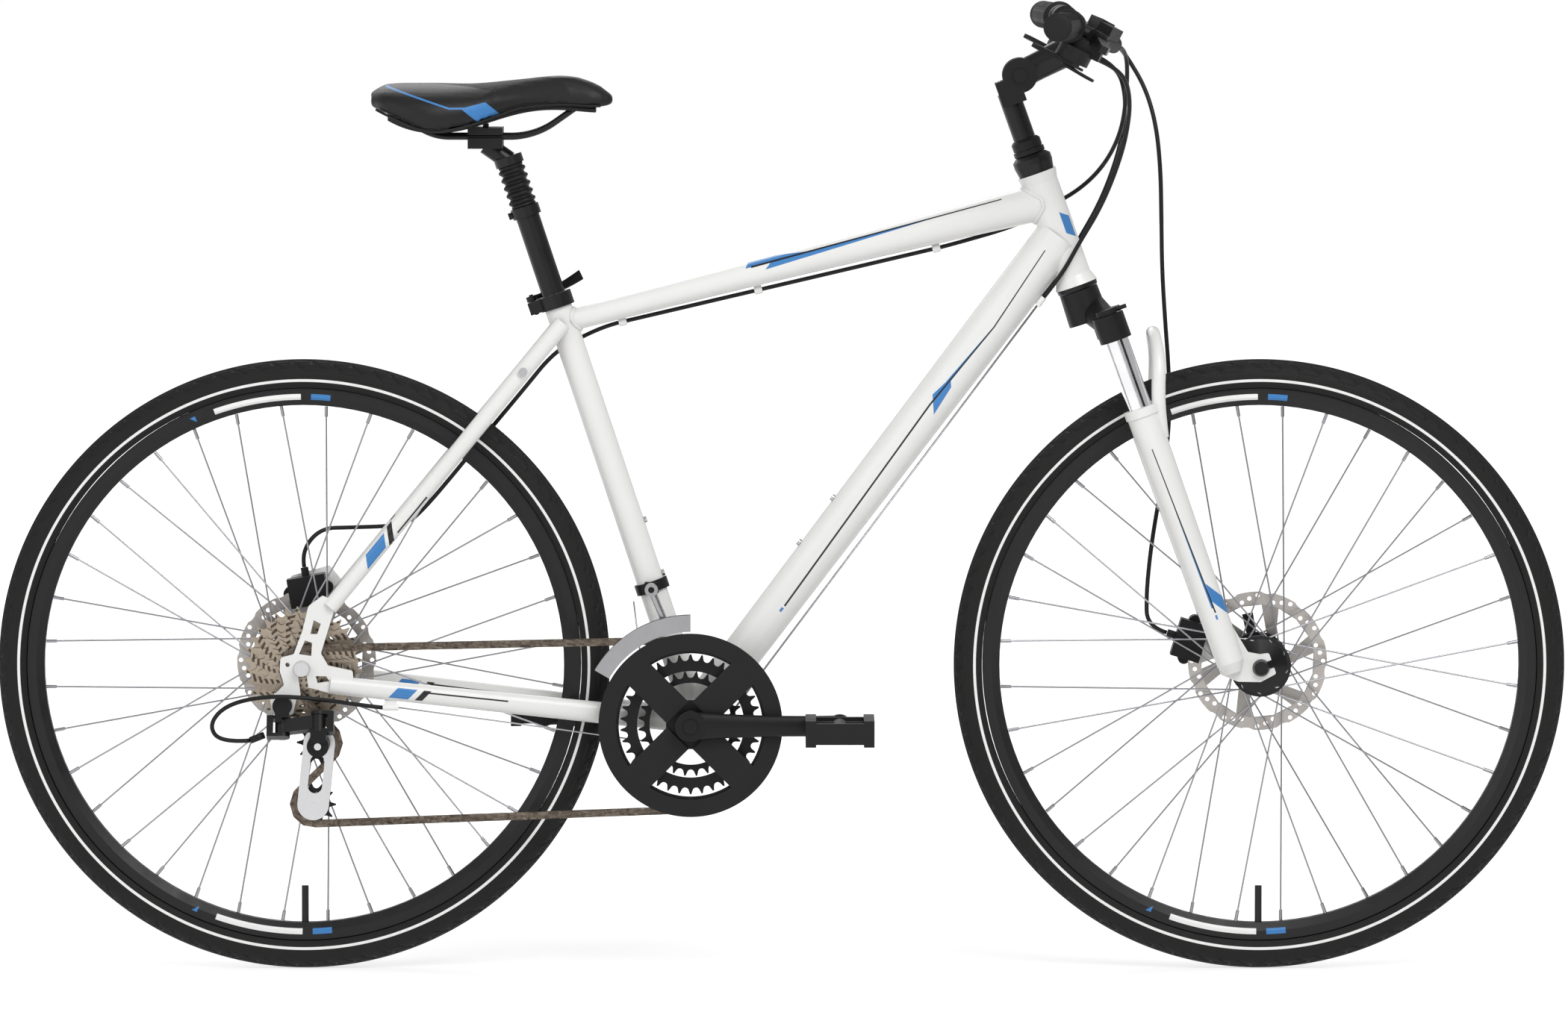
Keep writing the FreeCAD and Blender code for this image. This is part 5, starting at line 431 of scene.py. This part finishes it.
# Meshes
def piece(name, verts, faces, finish, body=None, stands_for=(), smooth=True):
    """A piece of its own, dressed, and carried by a body."""
    mesh = bpy.data.meshes.new(name)
    mesh.from_pydata([tuple(spot) for spot in verts], [], faces)
    mesh.validate()
    made = bpy.data.objects.new(name, mesh)
    bpy.context.scene.collection.objects.link(made)
    tidy = bmesh.new()
    tidy.from_mesh(mesh)
    bmesh.ops.recalc_face_normals(tidy, faces=tidy.faces)
    tidy.to_mesh(mesh)
    tidy.free()
    for face in mesh.polygons:
        face.use_smooth = smooth
    mesh.materials.append(finish.material)
    if stands_for:
        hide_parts(*stands_for)
    if body:
        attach(made, body)
    return made


def ring_faces(rings, steps):
    """Quads between closed rings of points that follow one another."""
    faces = []
    for row in range(rings - 1):
        for step in range(steps):
            a = row * steps + step
            b = row * steps + (step + 1) % steps
            faces.append((a, b, b + steps, a + steps))
    return faces


def square_to(axis):
    """Two directions square to an axis."""
    axis = axis.normalized()
    side = axis.cross(Vector((0, 1, 0)))
    if side.length < 0.1:
        side = axis.cross(Vector((1, 0, 0)))
    side.normalize()
    return side, axis.cross(side)


def lathe(profile, foot, axis, steps, carve=None):
    """A turned form: the profile is pairs of radius and distance from foot along axis."""
    axis = axis.normalized()
    side, other = square_to(axis)
    verts = []
    for radius, far in profile:
        for step in range(steps):
            turn = 2 * math.pi * step / steps
            reach = radius + (carve(far, turn) if carve else 0)
            verts.append(foot + axis * far + (side * math.cos(turn) + other * math.sin(turn)) * reach)
    return verts, ring_faces(len(profile), steps)


def joined(*parts):
    """Several sets of points and faces as one."""
    verts = []
    faces = []
    for more_verts, more_faces in parts:
        start = len(verts)
        verts.extend(more_verts)
        faces.extend(tuple(index + start for index in face) for face in more_faces)
    return verts, faces


def spline_points(route):
    """The points of a smooth line with the route's points as its control points."""
    curve = bpy.data.curves.new("route", "CURVE")
    curve.dimensions = "3D"
    curve.resolution_u = 10
    line = curve.splines.new("NURBS")
    line.points.add(len(route) - 1)
    for spot, control in zip(route, line.points):
        control.co = (*spot, 1)
    line.order_u = 3
    line.use_endpoint_u = True
    holder = bpy.data.objects.new("route", curve)
    bpy.context.scene.collection.objects.link(holder)
    bpy.context.view_layer.update()
    mesh = bpy.data.meshes.new_from_object(holder)
    spots = [vertex.co.copy() for vertex in mesh.vertices]
    bpy.data.objects.remove(holder)
    bpy.data.meshes.remove(mesh)
    bpy.data.curves.remove(curve)
    return spots


def tube(spots, width, steps=12):
    """Points and faces of a round tube along a line of points."""
    verts = []
    side = None
    for index, spot in enumerate(spots):
        ahead = spots[min(index + 1, len(spots) - 1)] - spots[max(index - 1, 0)]
        ahead.normalize()
        if side is None:
            side = square_to(ahead)[0]
        side = (side - ahead * side.dot(ahead)).normalized()
        other = ahead.cross(side)
        for step in range(steps):
            turn = 2 * math.pi * step / steps
            verts.append(spot + (side * math.cos(turn) + other * math.sin(turn)) * (width / 2))
    faces = ring_faces(len(spots), steps)
    faces.append(tuple(range(steps)))
    faces.append(tuple(range(len(verts) - steps, len(verts))))
    return verts, faces


# Tyres
def tyre(name, node, axle, body):
    """A casing with a moulded tread: siped blocks on both shoulders, a ribbed middle, plain walls."""
    steps = 720
    rows = 45
    blocks = 96
    crown = 0.330
    section = 0.020
    bead = math.radians(130)
    # Angles from the crown where the bands of the tread change.
    shoulder = 0.30
    edge = 0.98
    wall = 1.16
    grooves = ((0.22, 0.31), (0.60, 0.66))
    sweep = 1.15
    sipe_share = 0.24
    sipe = 0.0013
    notch = 0.0008
    groove = 0.0010
    verts = []
    for row in range(rows):
        lean = -bead + 2 * bead * row / (rows - 1)
        slant = abs(lean)
        for step in range(steps):
            turn = 2 * math.pi * step / steps
            block = turn * blocks / (2 * math.pi)
            phase = (block + slant * sweep + (0.5 if lean > 0 else 0.0)) % 1.0
            cut_in = 0.0
            if shoulder < slant < edge and phase < sipe_share:
                cut_in = sipe
            if edge < slant < wall and (block / 2) % 1.0 < 0.5:
                cut_in = notch
            if any(low < slant < high for low, high in grooves):
                cut_in = max(cut_in, groove)
            if slant > wall:
                cut_in = groove
            inner = section - cut_in
            reach = crown + inner * math.cos(lean)
            spot = Vector((reach * math.cos(turn), inner * math.sin(lean), reach * math.sin(turn)))
            verts.append(axle + spot)
    rubber = tyre_rubber(name + "_rubber", axle)
    made = piece(name, verts, ring_faces(rows, steps), rubber, body, (node,), smooth=False)


tyre("front_tread", "front_tyre", FRONT_AXLE, "front_wheel")
tyre("rear_tread", "rear_tyre", REAR_AXLE, "rear_wheel")


# Saddle sections in millimetres: distance along the bike, half width, crown and skirt heights.
# Each has its points in steps over the crown and under the skirt.
SADDLE = ((-470, 42, 1006, 990), (-448, 70, 1014, 979), (-400, 81, 1015, 961), (-350, 66, 1014.5, 969),
          (-300, 42, 1019, 986), (-250, 26, 1023.5, 990), (-212, 22, 1017, 988), (-191, 12, 1004, 992))
SADDLE_OVER = 24
SADDLE_UNDER = 12


def between(values, place):
    """A smooth value at a fractional place in a list."""
    last = len(values) - 1
    index = min(int(place), last - 1)
    share = place - index
    a, b = values[index], values[index + 1]
    before = values[index - 1] if index else 2 * a - b
    after = values[index + 2] if index + 2 <= last else 2 * b - a
    bend = (b - before) / 2, (after - a) / 2
    return (a * (2 * share ** 3 - 3 * share ** 2 + 1) + bend[0] * (share ** 3 - 2 * share ** 2 + share)
            + b * (3 * share ** 2 - 2 * share ** 3) + bend[1] * (share ** 3 - share ** 2))


def saddle_ring(place, shrink=0.0):
    """One cross-section of the cover, from the right skirt over the crown and back below."""
    x, half, crown, skirt = (between([row[item] for row in SADDLE], place) for item in range(4))
    half -= shrink
    crown -= shrink
    tall = crown - skirt
    under = max(skirt + 1, crown - 25)
    spots = []
    for step in range(SADDLE_OVER + 1):
        turn = math.pi * step / SADDLE_OVER
        wide = math.cos(turn)
        lift = math.sin(turn) ** 0.62
        belly = 1.0 + 0.10 * math.sin(turn) * (1 - math.sin(turn))
        out = -half * 0.9 * wide * belly - half * 0.1 * wide * math.sin(turn) ** 0.3
        spots.append(Vector((x, out, skirt + tall * lift)) / 1000)
    for step in range(1, SADDLE_UNDER):
        share = step / SADDLE_UNDER
        high = skirt + (under - skirt) * math.sin(math.pi * share)
        spots.append(Vector((x, half * 0.9 * (1 - 2 * share), high)) / 1000)
    return spots


def saddle_cover(finish):
    """The padded cover: a lofted form, swelled by a short cloth run."""
    rings = 46
    cap = 0.0022
    verts = []
    for ring in range(rings):
        verts.extend(saddle_ring((len(SADDLE) - 1) * ring / (rings - 1), shrink=1.2))
    steps = SADDLE_OVER + SADDLE_UNDER
    faces = ring_faces(rings, steps)
    faces.append(tuple(range(steps)))
    faces.append(tuple(range(len(verts) - steps, len(verts))))
    cover = piece("saddle_pad", verts, faces, finish)
    remesh = cover.modifiers.new("even", "REMESH")
    remesh.mode = "VOXEL"
    remesh.voxel_size = 0.004
    apply_all(cover)
    rest = [vertex.co.copy() for vertex in cover.data.vertices]
    swell(cover)
    for vertex, spot in zip(cover.data.vertices, rest):
        move = vertex.co - spot
        if move.length > cap:
            vertex.co = spot + move.normalized() * cap
    smooth = cover.modifiers.new("round", "SUBSURF")
    smooth.levels = 1
    smooth.render_levels = 1
    apply_all(cover)
    for face in cover.data.polygons:
        face.use_smooth = True
    if not cover.data.materials:
        cover.data.materials.append(finish.material)
    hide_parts("saddle_cover")
    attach(cover, "saddle")


def apply_all(made):
    """Turn the modified mesh into the piece's own mesh."""
    shaped = made.evaluated_get(bpy.context.evaluated_depsgraph_get())
    mesh = bpy.data.meshes.new_from_object(shaped)
    made.modifiers.clear()
    made.data = mesh


def swell(made):
    """A short cloth run under pressure, kept as the piece's shape."""
    last = 20
    cloth = made.modifiers.new("swell", "CLOTH")
    cloth.settings.use_pressure = True
    cloth.settings.uniform_pressure_force = 4
    cloth.settings.effector_weights.gravity = 0
    cloth.settings.quality = 5
    cloth.point_cache.frame_start = 1
    cloth.point_cache.frame_end = last
    for step in range(1, last + 1):
        bpy.context.scene.frame_set(step)
    apply_all(made)
    bpy.context.scene.frame_set(1)


vinyl = saddle_vinyl()
saddle_cover(vinyl)


def saddle_trim():
    """A welt along each lower edge."""
    rings = 44
    first = 3
    last = 40
    lift = 0.0016
    width = 0.0030
    parts = []
    for item, out in ((0, -0.0006), (SADDLE_OVER, 0.0006)):
        route = []
        for ring in range(first, last + 1):
            spot = saddle_ring((len(SADDLE) - 1) * ring / rings)[item]
            route.append(spot + Vector((0, out, lift)))
        parts.append(tube(spline_points(route[::2]), width, 8))
    made = piece("saddle_welts", *joined(*parts), plain("saddle_welt"), "saddle")


saddle_trim()


# Seatpost boot
def boot(finish):
    """Five rounded folds between two plain lips."""
    folds = 5
    rows = folds * 10
    bore = 0.0105
    lip = 0.0142
    valley = 0.0126
    depth = 0.0034
    low = 0.0022
    length = 0.0456
    profile = [(bore, 0.0003), (lip, 0.0003), (lip, low)]
    for step in range(1, rows):
        share = step / rows
        peak = (0.5 - 0.5 * math.cos(2 * math.pi * folds * share)) ** 0.8
        profile.append((valley + depth * peak, low + length * share))
    profile += [(lip, 0.0478), (lip, 0.0497), (bore, 0.0497)]
    verts, faces = lathe(profile, SEAT_FOOT + SEAT_UP * 0.622, SEAT_UP, 56)
    made = piece("boot_folds", verts, faces, finish, "seatpost", ("seatpost_boot",))
    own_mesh(made)


boot(plain("boot_rubber"))


# Grips
def grip(sign):
    """A ribbed sleeve with a flange, on the end of one side of the bar."""
    end = Vector((0.306703, 0.320 * sign, 1.086748))
    out = Vector((-0.133424, 0.991012 * sign, 0.009668))
    length = 0.118
    sleeve = 0.0150
    swelling = 0.0008
    rib_pitch = 0.0026
    rows = 92
    profile = [(0.0112, 0.0), (0.0182, 0.0004), (0.0190, 0.0016), (0.0190, 0.0040), (0.0182, 0.0050),
               (sleeve, 0.0058)]
    for row in range(rows + 1):
        profile.append((sleeve + swelling * math.sin(math.pi * row / rows), 0.0066 + 0.1080 * row / rows))
    profile += [(0.0158, 0.1156), (0.0160, 0.1185), (sleeve, 0.1198), (0.0090, 0.1199), (0.0001, 0.1199)]

    def ribs(far, turn):
        """Ribs round the sleeve, with a fluted band on two sides."""
        if not 0.010 < far < 0.110:
            return 0.0
        rib = 0.0005 if (far / rib_pitch) % 1.0 < 0.55 else -0.0003
        pad = math.cos(2 * turn) > -0.35
        return rib if pad else 0.0004 * math.cos(turn * 24)

    return lathe(profile, end - out * length, out, 72, ribs)


grips = piece("ribbed_grips", *joined(grip(-1), grip(1)), plain("grip_rubber"), "bars", ("grips",))


# Hoses and cables: the points each route passes, in metres.
FRONT_HOSE = ((0.3789, 0.1257, 1.0614), (0.3855, 0.1113, 1.0589), (0.398, 0.092, 1.042),
              (0.418, 0.078, 1.008), (0.43, 0.066, 0.966), (0.435, 0.06, 0.915),
              (0.436, 0.058, 0.86), (0.437, 0.062, 0.8),
              (0.441, 0.07, 0.74), (0.446, 0.079, 0.68), (0.447, 0.085, 0.62), (0.44, 0.088, 0.56),
              (0.43, 0.084, 0.505), (0.424, 0.074, 0.465), (0.42, 0.062, 0.425), (0.42, 0.047, 0.389),
              (0.4429, 0.047, 0.382))
REAR_HOSE = ((0.3789, -0.1257, 1.0614), (0.3855, -0.1113, 1.0589), (0.392, -0.084, 1.044),
             (0.392, -0.058, 1.006), (0.388, -0.028, 0.964), (0.372, 0.006, 0.926),
             (0.346, 0.034, 0.896), (0.31, 0.042, 0.874),
             (0.272, 0.03, 0.852), (0.1905, 0.008, 0.8297), (0.1632, 0.008, 0.8233), (-0.0132, 0.008, 0.7819),
             (-0.0405, 0.008, 0.7756), (-0.1684, 0.008, 0.7456), (-0.1957, 0.008, 0.7392),
             (-0.222, 0.02, 0.728), (-0.2604, 0.0259, 0.7075), (-0.2971, 0.0327, 0.6621),
             (-0.3346, 0.0395, 0.6173),
             (-0.3713, 0.0462, 0.5719), (-0.4088, 0.053, 0.5271), (-0.4331, 0.0709, 0.5039),
             (-0.4977, 0.0817, 0.5008), (-0.5317, 0.0717, 0.5008), (-0.5529, 0.0597, 0.4746),
             (-0.5497, 0.0597, 0.4568))
HOUSING = ((0.3316, 0.1663, 1.0539), (0.3405, 0.1445, 1.0537), (0.386, 0.118, 1.032), (0.396, 0.084, 1.0),
           (0.392, 0.058, 0.957), (0.38, 0.042, 0.915), (0.362, 0.034, 0.872), (0.338, 0.03, 0.832),
           (0.3199, 0.024, 0.7981), (0.2996, 0.009, 0.7713))
RIGHT_WIRE = ((0.292, -0.009, 0.7612), (-0.0724, -0.008, 0.2737), (-0.104, -0.008, 0.2545),
              (-0.4367, -0.062, 0.305))
LEFT_WIRE = ((0.292, 0.009, 0.7612), (-0.0724, 0.008, 0.2737), (-0.104, 0.008, 0.2545),
             (-0.13, 0.005, 0.2625), (-0.158, -0.009, 0.33), (-0.1695, -0.016, 0.4231))
LOOP = ((-0.4553, -0.062, 0.305), (-0.478, -0.068, 0.308), (-0.53, -0.092, 0.318), (-0.585, -0.1, 0.322),
        (-0.632, -0.102, 0.312), (-0.652, -0.1, 0.288), (-0.638, -0.096, 0.268), (-0.605, -0.091, 0.27))
BARREL = ((-0.589, -0.088, 0.276), (-0.605, -0.091, 0.27))
HOSE_WIDTH = 0.005
WIRE_WIDTH = 0.0018
BARREL_WIDTH = 0.008

# Heights at which the lines are cut, each into two lengths.
FRONT_CUT = 0.80
REAR_CUT = 0.925
HOUSING_CUT = 0.955


def mirrored(route):
    return tuple((x, -y, z) for x, y, z in route)


def cut_at(spots, height):
    """A falling line in two at a height; both halves keep the point between them."""
    index = next(place for place, spot in enumerate(spots) if spot.z < height)
    return spots[:index + 1], spots[index:]


def bent(name, spots, finish):
    """A length of hose along a line of points, its placement baked into its points."""
    made = piece(name, *tube(spots, HOSE_WIDTH), finish)
    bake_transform(made)
    return made


hose = plain("hose_black")
front_upper, front_lower = cut_at(spline_points(FRONT_HOSE), FRONT_CUT)
rear_upper, rear_lower = cut_at(spline_points(REAR_HOSE), REAR_CUT)
made = bent("front_hose_top", front_upper, hose)
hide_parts("front_brake_hose")
bent("front_hose_leg", front_lower,
     hose)
made = bent("rear_hose_top", rear_upper, hose)
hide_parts("rear_brake_hose")
bent("rear_hose_run", rear_lower, hose)
for side, route in (("right", mirrored(HOUSING)), ("left", HOUSING)):
    above, below = cut_at(spline_points(route), HOUSING_CUT)
    made = bent(side + "_housing_top", above, hose)
    if side == "right":
        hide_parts("shift_housings")
    bent(side + "_housing_run", below, hose)

wires = joined(*(tube([Vector(spot) for spot in route], WIRE_WIDTH, 8) for route in (RIGHT_WIRE, LEFT_WIRE)))
piece("gear_wires", *wires, plain("wire_steel"), "frame", ("gear_cables",))
loop = joined(tube(spline_points(LOOP), HOSE_WIDTH), tube([Vector(spot) for spot in BARREL], BARREL_WIDTH))
piece("gear_loop", *loop, hose, "frame")


# Weld beads: rows of small ripples where a tube meets another.
def weld(foot, run, radius, axle_foot, axle, axle_radius, near, far):
    """A rippled bead where a tube runs into another, between near and far along it."""
    run = run.normalized()
    axle = axle.normalized()
    side, other = square_to(run)
    steps = 96
    around = 8
    halvings = 30
    clear = 0.0006
    thin = 0.0021
    ripple = 0.0006
    spots = []
    for step in range(steps):
        turn = 2 * math.pi * step / steps
        edge = foot + (side * math.cos(turn) + other * math.sin(turn)) * radius
        low, high = near, far
        for _ in range(halvings):
            middle = (low + high) / 2
            arm = edge + run * middle - axle_foot
            if (arm - axle * arm.dot(axle)).length > axle_radius:
                low = middle
            else:
                high = middle
        spots.append(edge + run * (low - clear))
    verts = []
    rows = []
    centre = sum(spots, Vector()) / steps
    for index, spot in enumerate(spots):
        ahead = (spots[(index + 1) % steps] - spots[index - 1]).normalized()
        out = spot - centre
        out = (out - ahead * out.dot(ahead)).normalized()
        over = ahead.cross(out)
        width = thin + ripple * (index % 2)
        rows.append(len(verts))
        for point in range(around):
            turn = 2 * math.pi * point / around
            verts.append(spot + (out * math.cos(turn) + over * math.sin(turn)) * width)
    faces = []
    for index in range(steps):
        after = (index + 1) % steps
        for point in range(around):
            follow = (point + 1) % around
            faces.append((rows[index] + point, rows[index] + follow,
                          rows[after] + follow, rows[after] + point))
    return verts, faces


bead, bead_white = pearl_paint("weld_paint")
bead.set(base_color=bead_white)
HEAD_RADIUS = 0.0205
SEAT_RADIUS = 0.0159
TOP_FRONT = 0.0205
TOP_BACK = 0.0125
TOP_MIDDLE = TOP_SEAT + TOP_RUN * 0.5
welds = joined(weld(TOP_SEAT, TOP_RUN, TOP_FRONT, HEAD_FOOT, STEER_UP, HEAD_RADIUS, 0.40, 0.565),
               weld(TOP_MIDDLE, TOP_RUN * -1, TOP_BACK, SEAT_FOOT, SEAT_UP, SEAT_RADIUS, 0.40, 0.499))
made = piece("weld_beads", *welds, bead, "frame")


# Finishes of the nodes that keep their own shape, and of those that other pieces stand for
def dress(finish, *names):
    """Give nodes a finish in place of the one they came with."""
    for name in names:
        mesh = nodes[name].data
        mesh.materials.clear()
        mesh.materials.append(finish.material)


dress(frame_paint(), "frame")
dress(fork_paint(), "fork_lowers")
dress(trim_finish(), "frame_fittings")
dress(plain("hard_chrome"), "fork_stanchions")
dress(plain("spoke_steel"), "front_spokes", "rear_spokes")
dress(ground_rotor("front_ground_rotor", FRONT_AXLE), "front_rotor")
dress(ground_rotor("rear_ground_rotor", REAR_AXLE), "rear_rotor")
dress(plated_sprockets(), "cassette")
dress(oiled_steel(), "chain")
dress(plain("bright_steel"), "derailleur_cage", "rear_axle")
dress(plain("cage_steel"), "front_derailleur_cage")
dress(rim_black("front_rim_black", FRONT_AXLE), "front_rim")
dress(rim_black("rear_rim_black", REAR_AXLE), "rear_rim")
dress(plain("anodised_black"), "front_axle", "front_hub", "rear_hub", "stem_quill", "stem_extension",
      "handlebar", "seatpost_tube", "seatpost_head", "seat_clamp", "bearing_cups", "saddle_rails",
      "front_axle_lever", "rear_axle_lever", "seat_clamp_lever", "right_brake_lever", "left_brake_lever")
dress(plain("cast_black"), "fork_crown", "front_caliper", "rear_caliper", "derailleur_bracket",
      "derailleur_link", "derailleur_knuckle", "cranks", "chainrings", "front_derailleur_clamp",
      "headset_locknut")
dress(plain("moulded_black"), "chain_guard", "right_pedal", "left_pedal", "control_bodies",
      "right_shift_lever", "left_shift_lever", "guide_pulley", "tension_pulley", "fork_lockout_knob",
      "saddle_shell")
dress(vinyl, "saddle_cover")
dress(hose, "front_brake_hose", "rear_brake_hose", "shift_housings", "gear_cables", "seatpost_boot", "grips",
      "front_tyre", "rear_tyre")


# Floor, light and camera: each lamp's place, power and size, and the place of each dark flag.
LAMPS = (("key", (1.2, -2.6, 3.0), 78, 2.0), ("fill", (-2.4, -2.2, 1.4), 26, 2.2),
         ("rim", (-0.6, 2.4, 2.6), 30, 2.0))
FLAGS = (("left", (-2.9, -2.8, 1.1)), ("right", (2.9, -2.8, 1.1)))
WHITE = (1, 1, 1, 1)
PALE = (0.85, 0.85, 0.85, 1)
FLOOR_GLOW = 1.24
ROOM_LIGHT = 0.5
ROOM_SEEN = 1.0


def facing(spot, target, front="-Z"):
    """The turn that points an object's front at a target."""
    return (Vector(target) - Vector(spot)).to_track_quat(front, "Y").to_euler()


def studio_floor():
    """A white floor that keeps the bike's shadow."""
    seen = Finish("studio_floor")
    path = seen.node("ShaderNodeLightPath", {}, {}, "Is Camera Ray")
    glossy = seen.node("ShaderNodeLightPath", {}, {}, "Is Glossy Ray")
    through = seen.node("ShaderNodeLightPath", {}, {}, "Is Transmission Ray")
    x, y, _ = seen.axes()
    away = seen.ramp((x * x * 0.35 + y * y).root(), 0.25, 1.1, 0.55, 1.0)
    looked_at = (path * away).larger(glossy, through)
    diffuse = seen.node("ShaderNodeBsdfDiffuse", {}, {"Color": PALE}, "BSDF")
    glow = seen.node("ShaderNodeEmission", {}, {"Color": WHITE, "Strength": FLOOR_GLOW}, "Emission")
    mixed = seen.node("ShaderNodeMixShader", {}, {0: looked_at, 1: diffuse, 2: glow})
    seen.surface(mixed, "Material Output")
    bpy.ops.mesh.primitive_plane_add(size=40)
    floor = bpy.context.object
    floor.name = "studio_floor"
    floor.data.materials.append(seen.material)


def surround():
    """An even white room, dimmer as a light than as it is seen."""
    world = bpy.data.worlds.new("studio")
    bpy.context.scene.world = world
    world.use_nodes = True
    room = Web(world.node_tree)
    path = room.node("ShaderNodeLightPath", {}, {}, "Is Camera Ray")
    through = room.node("ShaderNodeLightPath", {}, {}, "Is Transmission Ray")
    light = room.node("ShaderNodeBackground", {}, {"Color": WHITE, "Strength": ROOM_LIGHT})
    shown = room.node("ShaderNodeBackground", {}, {"Color": WHITE, "Strength": ROOM_SEEN})
    either = path.larger(through)
    mixed = room.node("ShaderNodeMixShader", {}, {0: either, 1: light, 2: shown})
    room.surface(mixed, "World Output")


def lamps():
    """Three soft lamps, and two dark flags that only reflections see."""
    for name, spot, power, size in LAMPS:
        lamp = bpy.data.lights.new("lamp_" + name, "AREA")
        lamp.energy = power
        lamp.size = size
        holder = bpy.data.objects.new("lamp_" + name, lamp)
        bpy.context.scene.collection.objects.link(holder)
        holder.location = spot
        holder.rotation_euler = facing(spot, (0, 0, 0.5))
    for name, spot in FLAGS:
        bpy.ops.mesh.primitive_plane_add(size=1, location=spot)
        flag = bpy.context.object
        flag.name = name + "_flag"
        flag.scale = (1.5, 3.0, 1)
        flag.rotation_euler = facing(spot, (0, 0, 0.8), "Z")
        flag.data.materials.append(plain(name + "_flag_cloth").material)
        flag.visible_camera = False
        flag.visible_diffuse = False
        flag.visible_shadow = False


def camera():
    """The photograph's side view, from far away and a little above."""
    target = Vector((0.0026, 0, 0.5296))
    distance = 12
    rise = math.radians(4)
    lens = bpy.data.cameras.new("camera")
    lens.lens = 240.6
    lens.sensor_width = 36
    lens.sensor_fit = "HORIZONTAL"
    lens.clip_end = 100
    holder = bpy.data.objects.new("camera", lens)
    bpy.context.scene.collection.objects.link(holder)
    holder.location = target + Vector((0, -math.cos(rise), math.sin(rise))) * distance
    holder.rotation_euler = facing(holder.location, target)
    bpy.context.scene.camera = holder


studio_floor()
surround()
lamps()
camera()
bpy.context.scene.view_settings.view_transform = "Standard"
